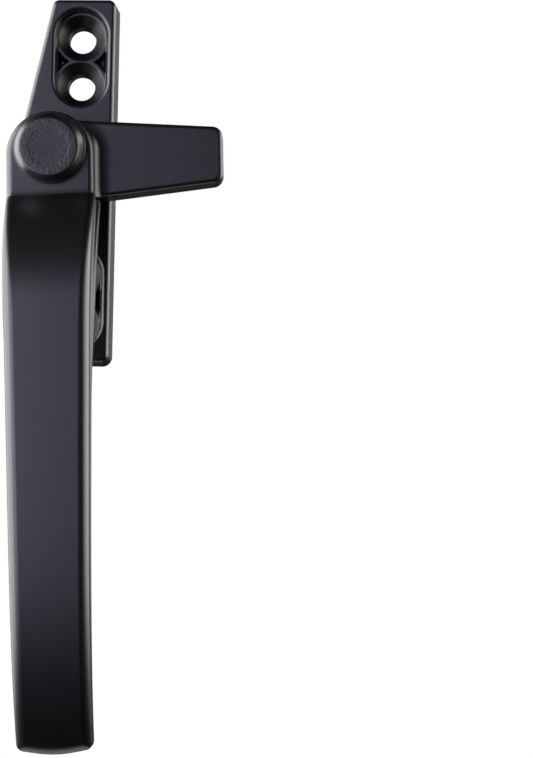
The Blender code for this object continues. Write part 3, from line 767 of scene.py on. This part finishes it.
def half_outline():
    """Return (point, inward normal) pairs down the lever's right side, from its top to its end."""
    outer = rounded_outline(lever_corners(), 0.0)
    inner = rounded_outline(lever_corners(), HAIR)
    pairs = [(point, (drawn_in - point) / HAIR) for point, drawn_in in zip(outer, inner)]
    right = [pair for pair in pairs if pair[0].x > -MERGE_DISTANCE]
    spread = [right[0]]
    for (start, start_normal), (end, end_normal) in zip(right, right[1:]):
        pieces = max(math.ceil((end - start).length / STATION_SPACING), 1)
        for piece in range(1, pieces + 1):
            share = piece / pieces
            spread.append((start.lerp(end, share), start_normal.lerp(end_normal, share)))
    return spread


def grip_waist(z):
    """Return how far the grip's sides are drawn in at a height, from nothing on the hub and at the end."""
    return GRIP_WAIST * ramp(-z, NECK_TOP, NECK_RUN) * (1 - grip_share(-z) ** GRIP_WAIST_POWER)


def back_flare(z):
    """Return how far the lever's back stands out past its front at a height: most along the neck."""
    start = 1 - ramp(z, -NECK_TOP, FLARE_START)
    fade = softened(ramp(-z, FLARE_FADE_TOP, FLARE_FADE_BOTTOM - FLARE_FADE_TOP))
    return FLARE_LEAST + (FLARE_NECK - FLARE_LEAST) * start * (1 - fade)


def lever_section(point, inward):
    """Return the lever's edge at one point of its outline, as a path from the back face to the front."""
    edge = front_edge(point.y)
    flare = back_flare(point.y)
    point = point + inward * grip_waist(point.y)
    path = []
    for inset, drop in reversed(rounding(LEVER_BACK_EDGE)):
        where = point + inward * (inset - flare)
        path.append(place(where.x, where.y, lever_back(where.y) + drop))
    wall_back = lever_back(point.y) + LEVER_BACK_EDGE
    wall_front = lever_front(point.y) - edge
    middle = wall_back + (wall_front - wall_back) * FLARE_PLACE
    for step in range(FLARE_STEPS + 1):
        share = step / FLARE_STEPS
        where = point - inward * flare * (1 + math.cos(math.pi * share)) / 2
        path.append(place(where.x, where.y, middle + FLARE_RUN * flare * (share - 0.5)))
    for inset, drop in rounding(edge):
        where = point + inward * inset
        path.append(place(where.x, where.y, lever_front(where.y) - drop))
    return path


def skewed(point):
    """Return a point of the lever, moved so that the neck's crease climbs to the right."""
    near = math.exp(-(((point.z + NECK_TOP) / CREASE_SPREAD) ** 2))
    return point + Vector((0.0, 0.0, (CREASE_SKEW * point.x + CREASE_LIFT) * near))


def close_across(shape, ring):
    """Close a symmetric ring with quads from its right side to its left."""
    count = len(ring)
    for index in range(count // 2):
        corners = [ring[index], ring[index + 1], ring[-index - 1], ring[-index]]
        shape.faces.new(list(dict.fromkeys(corners)))


def make_lip():
    """Return the lip on the hub's right flank, which covers the joint where the tongue comes out."""
    bottom = -NECK_TOP - LIP_WIDTH - LIP_CORNER
    corners = [
        (0.0, LIP_TOP, LIP_CORNER),
        (LIP_EDGE, LIP_TOP, LIP_ROUND),
        (LIP_EDGE, bottom, LIP_CORNER),
        (0.0, bottom, LIP_CORNER),
    ]
    layers = [(0.0, ROOT_FRONT)]
    for step in range(EDGE_STEPS + 1):
        turn = LIP_TURN * step / EDGE_STEPS
        rise = LIP_BEND * math.sin(turn)
        layers.append((LIP_BEND * (1 - math.cos(turn)), TONGUE_FRONT + CLEARANCE + rise))
    lip = slab("lip", corners, layers)
    foot = [
        (-LIP_EDGE, -NECK_TOP, HAIR),
        (2 * LIP_EDGE, -NECK_TOP, HAIR),
        (2 * LIP_EDGE, 2 * bottom, HAIR),
        (-LIP_EDGE, 2 * bottom, HAIR),
    ]
    combine(lip, [slab("lip_foot", foot, [(0.0, HUB_BACK), (0.0, HUB_FRONT)])])
    lip.data.transform(LEVER_PLACE)
    return lip


def make_lever(finish):
    """Skin the lever along its bent faces, then bore its hub and sink the tongue's seat."""
    shape = bmesh.new()
    rows = []
    for right in zip(*[lever_section(point, inward) for point, inward in half_outline()]):
        left = [Vector((-point.x, point.y, point.z)) for point in reversed(right[1:-1])]
        rows.append([shape.verts.new(skewed(point)) for point in [*right, *left]])
    skin(shape, rows)
    close_across(shape, rows[0])
    close_across(shape, rows[-1])
    lever = new_object("lever_casting", shape, LEVER_PLACE)
    combine(lever, [make_lip()], "UNION")
    root_recess = slab(
        "root_recess",
        root_corners(),
        [(-CLEARANCE, HUB_BACK - CUT_PAST), (-CLEARANCE, ROOT_FRONT + CLEARANCE)],
        LEVER_PLACE,
    )
    arm_recess = slab(
        "arm_recess",
        arm_corners(),
        [(-CLEARANCE, HUB_BACK - CUT_PAST), (-CLEARANCE, TONGUE_FRONT + CLEARANCE)],
        LEVER_PLACE,
    )
    bore_path = [
        (0.0, HUB_FRONT + CUT_PAST),
        (CAP_BORE, HUB_FRONT + CUT_PAST),
        (CAP_BORE, CAP_BORE_FLOOR),
        (HUB_BORE, CAP_BORE_FLOOR),
        (HUB_BORE, HUB_BACK - CUT_PAST),
        (0.0, HUB_BACK - CUT_PAST),
    ]
    tools = [root_recess, arm_recess, turned("hub_bore", bore_path, placing=LEVER_PLACE)]
    for label, side in (("left", -1), ("right", 1)):
        tip = SCREW_TIP + CLEARANCE
        hole_path = [
            (0.0, tip),
            (SCREW_RADIUS + CLEARANCE, tip),
            (SCREW_RADIUS + CLEARANCE, HUB_BACK),
            (0.0, HUB_BACK),
        ]
        tools.append(turned(f"{label}_hub_hole", hole_path, side * SCREW_X, SCREW_Z, LEVER_PLACE))
    combine(lever, tools)
    return dress(lever, "lever", finish)


def tongue_top(x):
    """Return the height of the tongue's top edge."""
    return TONGUE_ROOT_TOP + (TONGUE_TIP_TOP - TONGUE_ROOT_TOP) * x / TONGUE_REACH


def arm_corners():
    """Return the outline of the tongue's arm, from its tip back to where it laps under the hub."""
    return [
        (LAP_TOP, tongue_top(LAP_TOP), HAIR),
        (TONGUE_REACH, TONGUE_TIP_TOP, TONGUE_CORNER),
        (TONGUE_REACH, -TONGUE_TIP_BOTTOM, TONGUE_CORNER),
        (TONGUE_KNEE, -TONGUE_ROOT_BOTTOM, TONGUE_CORNER),
        (LAP_X, -TONGUE_ROOT_BOTTOM, HAIR),
    ]


def root_corners():
    """Return the outline of the tongue's root: round about the pivot, with a square foot."""
    return [
        (-ROOT_HALF_WIDTH, ROOT_HALF_WIDTH, ROOT_HALF_WIDTH),
        (ROOT_HALF_WIDTH, ROOT_HALF_WIDTH, ROOT_HALF_WIDTH),
        (ROOT_HALF_WIDTH, -TONGUE_ROOT_BOTTOM, ROOT_CORNER),
        (-ROOT_HALF_WIDTH, -TONGUE_ROOT_BOTTOM, ROOT_CORNER),
    ]


def arc_points(x, z, radius, first, last):
    """Return (x, z) points on an arc about a centre, from one angle to another."""
    angles = [first + (last - first) * step / SLOT_STEPS for step in range(SLOT_STEPS + 1)]
    return [(x + radius * math.cos(angle), z + radius * math.sin(angle)) for angle in angles]


def stop_slot_points(depth):
    """Return the outline of the curved slot that lets the stop pin pass through the lever's turn."""
    first = STOP_ANGLE - STOP_SLACK
    last = STOP_ANGLE + STOP_TURN + STOP_SLACK
    outline = arc_points(0.0, 0.0, STOP_CIRCLE + STOP_SLOT_HALF, first, last)
    last_centre = (STOP_CIRCLE * math.cos(last), STOP_CIRCLE * math.sin(last))
    outline += arc_points(*last_centre, STOP_SLOT_HALF, last, last + math.pi)
    outline += arc_points(0.0, 0.0, STOP_CIRCLE - STOP_SLOT_HALF, last, first)
    first_centre = (STOP_CIRCLE * math.cos(first), STOP_CIRCLE * math.sin(first))
    outline += arc_points(*first_centre, STOP_SLOT_HALF, first + math.pi, first + 2 * math.pi)
    return [place(x, z, depth) for x, z in outline]


def swell(x, z):
    """Return how far the tongue's face swells up along the hub's lip."""
    beyond = x - LIP_EDGE
    if z > LIP_TOP - LIP_ROUND:
        beyond = math.hypot(x - LIP_EDGE + LIP_ROUND, z - LIP_TOP + LIP_ROUND) - LIP_ROUND
    reach = min(max(SWELL_WIDTH - beyond, 0.0), SWELL_WIDTH)
    return SWELL_BEND - math.sqrt(SWELL_BEND**2 - reach**2)


def make_arm():
    """Return the tongue's arm, with its face swollen where it runs up to the hub."""
    layers = rounded_layers(HUB_BACK, TONGUE_FRONT, TONGUE_DRAFT, TONGUE_EDGE, TONGUE_BACK_EDGE)
    arm = slab("tongue_arm", arm_corners(), layers)
    shape = bmesh.new()
    shape.from_mesh(arm.data)
    columns = math.ceil((LIP_EDGE + SWELL_WIDTH - LAP_TOP) / SWELL_GRID)
    cuts = [((LAP_TOP + SWELL_GRID * step, 0.0, 0.0), (1.0, 0.0, 0.0)) for step in range(1, columns + 1)]
    for step in range(math.ceil(LIP_ROUND / SWELL_GRID)):
        cuts.append(((0.0, 0.0, LIP_TOP - SWELL_GRID * step), (0.0, 0.0, 1.0)))
    for through, across in cuts:
        everything = [*shape.verts, *shape.edges, *shape.faces]
        bmesh.ops.bisect_plane(shape, geom=everything, plane_co=through, plane_no=across)
    for vertex in shape.verts:
        share = max((-vertex.co.y - ROOT_FRONT) / (TONGUE_FRONT - ROOT_FRONT), 0.0)
        vertex.co.y -= swell(vertex.co.x, vertex.co.z) * share
    bpy.data.objects.remove(arm)
    return new_object("tongue_blade", shape, LEVER_PLACE)


def make_tongue(finish):
    """Make the tongue: a thick arm, and a thin root that laps behind the hub."""
    tongue = make_arm()
    root = slab("root", root_corners(), [(0.0, HUB_BACK), (0.0, ROOT_FRONT)], LEVER_PLACE)
    combine(tongue, [root], "UNION")
    far = TONGUE_FRONT + CUT_PAST
    bore_path = [(0.0, far), (HUB_BORE, far), (HUB_BORE, HUB_BACK - CUT_PAST), (0.0, HUB_BACK - CUT_PAST)]
    slot_floor = HUB_BACK + STOP_REACH + CLEARANCE
    slot_rings = [stop_slot_points(HUB_BACK - CUT_PAST), stop_slot_points(slot_floor)]
    tools = [
        turned("root_bore", bore_path, placing=LEVER_PLACE),
        loft("stop_slot", slot_rings, LEVER_PLACE),
    ]
    for label, side in (("left", -1), ("right", 1)):
        shank = SCREW_RADIUS + CLEARANCE
        head = SCREW_HEAD_RADIUS + CLEARANCE
        hole_path = [
            (0.0, far),
            (shank, far),
            (shank, HUB_BACK + SCREW_HEAD_DEPTH + CLEARANCE),
            (head, HUB_BACK + CLEARANCE),
            (head, HUB_BACK - CUT_PAST),
            (0.0, HUB_BACK - CUT_PAST),
        ]
        tools.append(turned(f"{label}_root_hole", hole_path, side * SCREW_X, SCREW_Z, LEVER_PLACE))
    combine(tongue, tools)
    return dress(tongue, "tongue", finish)


def make_tongue_screw(label, side, finish):
    """Turn a countersunk screw and sink a hexagon socket in its head."""
    back = HUB_BACK + CLEARANCE / 2
    path = [
        (0.0, SCREW_TIP, 0.0),
        (SCREW_RADIUS, SCREW_TIP, PIN_EDGE),
        (SCREW_RADIUS, back + SCREW_HEAD_DEPTH, WASHER_EDGE),
        (SCREW_HEAD_RADIUS, back, WASHER_EDGE),
        (0.0, back, 0.0),
    ]
    screw = turned(f"{label}_socket_screw", eased(path), side * SCREW_X, SCREW_Z, LEVER_PLACE)
    socket_path = [
        (0.0, back + SOCKET_DEPTH),
        (SOCKET_RADIUS, back + SOCKET_DEPTH),
        (SOCKET_RADIUS, back - CUT_PAST),
        (0.0, back - CUT_PAST),
    ]
    socket = turned("socket", socket_path, side * SCREW_X, SCREW_Z, LEVER_PLACE, steps=SOCKET_SIDES)
    combine(screw, [socket])
    return dress(screw, f"{label}_tongue_screw", finish)


def make_cap(finish):
    """Turn the cap: a faint dish in its face, a bevel, a thin flange and the spigot that plugs the bore.

    Its foot sits a little higher on the hub than its face does.
    """
    path = [
        (0.0, CAP_TOP - CAP_RING_DROP, 0.0),
        (CAP_RING_RADIUS, CAP_TOP - CAP_RING_DROP, CAP_RING_DROP),
        (CAP_RING_RADIUS + CAP_RING_WIDTH, CAP_TOP, CAP_RING_DROP),
        (CAP_FACE_RADIUS, CAP_TOP, CAP_FACE_EDGE),
        (CAP_BEVEL_RADIUS, CAP_TOP - CAP_BEVEL_HEIGHT, CAP_BEVEL_EDGE),
        (CAP_WALL_RADIUS, CAP_SEAT + CAP_FLANGE_THICKNESS, WASHER_EDGE),
        (CAP_RADIUS, CAP_SEAT + CAP_FLANGE_THICKNESS, CAP_FLANGE_EDGE),
        (CAP_RADIUS, CAP_SEAT, WASHER_EDGE),
        (SPIGOT_RADIUS, CAP_SEAT, WASHER_EDGE),
        (SPIGOT_RADIUS, HUB_FRONT - SPIGOT_REACH, WASHER_EDGE),
        (SPIGOT_BORE, HUB_FRONT - SPIGOT_REACH, WASHER_EDGE),
        (SPIGOT_BORE, CAP_TOP - CAP_CROWN, WASHER_EDGE),
        (0.0, CAP_TOP - CAP_CROWN, 0.0),
    ]
    cap = turned("pivot_cap", eased(path))
    for vertex in cap.data.vertices:
        depth = -vertex.co.y
        if depth > CAP_SEAT - MERGE_DISTANCE:
            vertex.co.z += CAP_SKEW * (CAP_TOP - depth) / (CAP_TOP - CAP_SEAT)
    cap.data.transform(LEVER_PLACE)
    return dress(cap, "cap", finish)


class Nodes:
    """A node tree, with short ways to add nodes and links."""

    def __init__(self, tree):
        self.tree = tree

    def put(self, socket, value):
        """Link a socket to another one, or set it to a plain value."""
        if isinstance(value, bpy.types.NodeSocket):
            self.tree.links.new(value, socket)
        else:
            socket.default_value = value

    def add(self, kind, inputs=None, **settings):
        """Add a node: inputs fills its sockets, and the other settings are its properties."""
        node = self.tree.nodes.new(kind)
        for socket, value in (inputs or {}).items():
            self.put(node.inputs[socket], value)
        for name, value in settings.items():
            setattr(node, name, value)
        return node

    def maths(self, operation, first, second):
        """Return the result of an operation on two values."""
        node = self.add("ShaderNodeMath", {0: first, 1: second}, operation=operation)
        return node.outputs["Value"]

    def vectors(self, operation, *inputs, output="Vector"):
        """Return the result of an operation on vectors."""
        node = self.add("ShaderNodeVectorMath", dict(enumerate(inputs)), operation=operation)
        return node.outputs[output]

    def noise(self, where, scale, detail=2.0, roughness=0.5):
        """Return the factor of a noise texture with so many features to the metre."""
        inputs = {"Vector": where, "Scale": scale, "Detail": detail, "Roughness": roughness}
        return self.add("ShaderNodeTexNoise", inputs).outputs["Fac"]

    def between(self, value, span, to_low, to_high):
        """Return a value mapped from a span to a range and held inside it."""
        low, high = span
        inputs = {"Value": value, "From Min": low, "From Max": high, "To Min": to_low, "To Max": to_high}
        return self.add("ShaderNodeMapRange", inputs).outputs["Result"]

    def blend(self, share, first, second):
        """Return a colour that runs from the first to the second."""
        node = self.add("ShaderNodeMix", data_type="RGBA")
        self.put(node.inputs[0], share)
        self.put(node.inputs[6], first)
        self.put(node.inputs[7], second)
        return node.outputs[2]

    def bump(self, height, distance, strength, normal=None):
        """Return a normal roughened by a height."""
        inputs = {"Height": height, "Distance": distance, "Strength": strength}
        if normal is not None:
            inputs["Normal"] = normal
        return self.add("ShaderNodeBump", inputs).outputs["Normal"]

    def fill(self, shader, **sockets):
        """Set or link a shader's sockets, named in small letters."""
        for name, value in sockets.items():
            self.put(shader.inputs[name.replace("_", " ").title().replace("Ior", "IOR")], value)


def new_material(name):
    """Return a material, its node helper, its shader and a place in the object's own metres."""
    made = bpy.data.materials.new(name)
    made.use_nodes = True
    nodes = Nodes(made.node_tree)
    shader = made.node_tree.nodes["Principled BSDF"]
    where = nodes.add("ShaderNodeTexCoord").outputs["Object"]
    return made, nodes, shader, where


def powder_coat():
    """Return the satin black coat: orange peel, uneven gloss, a paler tone on sharp convex edges and a few
    pale specks.
    """
    made, nodes, shader, where = new_material("satin_black_coat")
    cloud = nodes.noise(where, CLOUD_SCALE, detail=3.0)
    peel = nodes.noise(where, PEEL_SCALE)
    grain = nodes.noise(where, GRAIN_SCALE, detail=1.0)
    colour = nodes.blend(cloud, COAT_DARK, COAT_LIGHT)
    # Sharp convex edges, found by pointiness, are blended towards a paler grey
    pointiness = nodes.add("ShaderNodeNewGeometry").outputs["Pointiness"]
    edge = nodes.between(pointiness, EDGE_POINTINESS, 0.0, EDGE_PALE_SHARE)
    colour = nodes.blend(edge, colour, COAT_EDGE_PALE)
    cells = nodes.add("ShaderNodeTexVoronoi", {"Vector": where, "Scale": SPECK_SCALE})
    speck = nodes.between(cells.outputs["Distance"], SPECK_SIZE, 1.0, 0.0)
    colour = nodes.blend(speck, colour, COAT_SPECK)
    roughness = nodes.between(grain, NOISE_MIDDLE, *COAT_ROUGHNESS)
    normal = nodes.bump(peel, PEEL_HEIGHT, strength=0.35)
    normal = nodes.bump(grain, GRAIN_HEIGHT, strength=0.4, normal=normal)
    nodes.fill(shader, base_color=colour, roughness=roughness, normal=normal, specular_ior_level=COAT_GLOSS)
    return made


def cap_plastic():
    """Return the cap's moulded black: a smooth middle in a ring of coarser spark-eroded grain."""
    made, nodes, shader, where = new_material("textured_black_cap")
    from_axis = nodes.vectors("SUBTRACT", where, tuple(PIVOT))
    flat = nodes.vectors("MULTIPLY", from_axis, (1.0, 0.0, 1.0))
    radius = nodes.vectors("LENGTH", flat, output="Value")
    ring = (CAP_RING_RADIUS / 2, CAP_RING_RADIUS + CAP_RING_WIDTH)
    rim = (CAP_FACE_RADIUS - CAP_FACE_EDGE / 2, CAP_FACE_RADIUS)
    outside_ring = nodes.between(radius, ring, CAP_SMOOTH_SHARE, 1.0)
    on_face = nodes.between(radius, rim, 1.0, CAP_SMOOTH_SHARE)
    coarse = nodes.maths("MULTIPLY", outside_ring, on_face)
    erosion = nodes.noise(where, EROSION_SCALE, roughness=0.6)
    colour = nodes.blend(erosion, CAP_DARK, CAP_LIGHT)
    roughness = nodes.between(coarse, (CAP_SMOOTH_SHARE, 1.0), *CAP_ROUGHNESS)
    normal = nodes.bump(erosion, EROSION_HEIGHT, strength=coarse)
    nodes.fill(shader, base_color=colour, roughness=roughness, normal=normal, specular_ior_level=CAP_GLOSS)
    return made


def metal(name, dark, light, roughness):
    """Return a plated or bright metal with fine turning marks and uneven gloss."""
    made, nodes, shader, where = new_material(name)
    cloud = nodes.noise(where, METAL_CLOUD_SCALE, detail=3.0)
    marks = nodes.noise(where, METAL_MARK_SCALE)
    colour = nodes.blend(cloud, dark, light)
    uneven = nodes.between(marks, NOISE_MIDDLE, *roughness)
    normal = nodes.bump(marks, METAL_MARK_HEIGHT, strength=0.5)
    nodes.fill(shader, base_color=colour, metallic=1.0, roughness=uneven, normal=normal)
    return made


def acetal():
    """Return the natural white bearing plastic, slightly mottled, with fine cutting marks."""
    made, nodes, shader, where = new_material("natural_acetal")
    mottle = nodes.noise(where, ACETAL_MOTTLE_SCALE, detail=3.0)
    marks = nodes.noise(where, ACETAL_MARK_SCALE, detail=1.0)
    colour = nodes.blend(mottle, ACETAL_DARK, ACETAL_LIGHT)
    roughness = nodes.between(marks, NOISE_MIDDLE, *ACETAL_ROUGHNESS)
    normal = nodes.bump(marks, ACETAL_MARK_HEIGHT, strength=0.4)
    nodes.fill(shader, base_color=colour, roughness=roughness, normal=normal)
    return made


def floor_paint():
    """Return the pale matt floor's finish."""
    made, nodes, shader, where = new_material("pale_floor")
    cloud = nodes.noise(where, FLOOR_CLOUD_SCALE, detail=3.0)
    colour = nodes.blend(cloud, FLOOR_DARK, FLOOR_LIGHT)
    nodes.fill(shader, base_color=colour, roughness=FLOOR_ROUGHNESS)
    return made


def make_floor():
    """Lay a finite pale disc below the handle, out of the photograph's view."""
    path = [(0.0, 0.0), (FLOOR_RADIUS, 0.0), (FLOOR_RADIUS, -CUT_PAST), (0.0, -CUT_PAST)]
    level = Matrix.Translation((0.0, FLOOR_BACK, FLOOR_HEIGHT)) @ Matrix.Rotation(-QUARTER_TURN, 4, "X")
    floor = turned("pale_floor_disc", path, placing=level)
    floor.data.materials.append(floor_paint())


def make_world():
    """Show white to the camera, and to reflections only where the backdrop stands, behind the handle."""
    world = bpy.data.worlds.new("white_studio")
    bpy.context.scene.world = world
    world.use_nodes = True
    nodes = Nodes(world.node_tree)
    background = world.node_tree.nodes["Background"]
    path = nodes.add("ShaderNodeLightPath").outputs
    direction = nodes.add("ShaderNodeTexCoord").outputs["Generated"]
    behind = nodes.add("ShaderNodeSeparateXYZ", {"Vector": direction}).outputs["Y"]
    aside = nodes.vectors("DOT_PRODUCT", direction, SIDE_DIRECTION, output="Value")
    backdrop = nodes.maths(
        "MAXIMUM",
        nodes.between(behind, BACKDROP_FADE, 0.0, 1.0),
        nodes.between(aside, SIDE_FADE, 0.0, SIDE_SHARE),
    )
    mirrored = nodes.maths("MAXIMUM", path["Is Glossy Ray"], path["Is Transmission Ray"])
    mirrored = nodes.maths("MULTIPLY", mirrored, backdrop)
    seen = nodes.maths("MAXIMUM", path["Is Camera Ray"], mirrored)
    colour = nodes.blend(seen, WORLD_DIM, WORLD_WHITE)
    nodes.put(background.inputs["Color"], colour)


def make_lamp(name, azimuth, elevation, distance, width, height, radiance, colour):
    """Hang a rectangular softbox that faces the handle and gives off an even radiance."""
    lamp = bpy.data.lights.new(name, "AREA")
    lamp.shape = "RECTANGLE"
    lamp.size = width
    lamp.size_y = height
    lamp.energy = radiance * math.pi * width * height
    lamp.color = colour
    turn = math.radians(azimuth)
    rise = math.radians(elevation)
    towards = Vector((math.sin(turn) * math.cos(rise), -math.cos(turn) * math.cos(rise), math.sin(rise)))
    made = bpy.data.objects.new(name, lamp)
    bpy.context.scene.collection.objects.link(made)
    made.location = LAMP_TARGET + towards * distance
    made.rotation_euler = towards.to_track_quat("Z", "Y").to_euler()
    made.visible_camera = False


def make_camera():
    """Stand the camera where the photograph was taken."""
    data = bpy.data.cameras.new("photo_camera")
    data.sensor_fit = "AUTO"
    data.sensor_width = SENSOR
    data.lens = FOCAL_LENGTH_PX * SENSOR / IMAGE_HEIGHT_PX
    ahead = Vector(
        (
            math.sin(CAMERA_PAN) * math.cos(CAMERA_TILT),
            math.cos(CAMERA_PAN) * math.cos(CAMERA_TILT),
            math.sin(CAMERA_TILT),
        )
    )
    level_right = Vector((math.cos(CAMERA_PAN), -math.sin(CAMERA_PAN), 0.0))
    level_up = level_right.cross(ahead)
    right = math.cos(CAMERA_ROLL) * level_right + math.sin(CAMERA_ROLL) * level_up
    up = math.cos(CAMERA_ROLL) * level_up - math.sin(CAMERA_ROLL) * level_right
    camera = bpy.data.objects.new("photo_camera", data)
    bpy.context.scene.collection.objects.link(camera)
    turn = Matrix((right, up, -ahead)).transposed().to_4x4()
    camera.matrix_world = Matrix.Translation(CAMERA_PLACE) @ turn
    bpy.context.scene.camera = camera


coat = powder_coat()
steel = metal("zinc_plate", ZINC_DARK, ZINC_LIGHT, ZINC_ROUGHNESS)
spring_steel = metal("bright_spring_steel", SPRING_DARK, SPRING_LIGHT, SPRING_ROUGHNESS)
white_acetal = acetal()

make_base_plate(coat)
make_pivot_pin(steel)
make_washer("peening_washer", "tail_washer", steel)
make_washer("slip_washer", "thrust_washer", white_acetal)
make_wave_washer(spring_steel)
make_stop_pin(steel)
make_lever(coat)
make_tongue(coat)
make_tongue_screw("left", -1, steel)
make_tongue_screw("right", 1, steel)
make_washer("bearing_sleeve", "hub_bush", white_acetal)
make_cap(cap_plastic())

make_floor()
make_world()
for lamp in LAMPS:
    make_lamp(*lamp)
make_camera()
bpy.context.scene.view_settings.view_transform = "Standard"
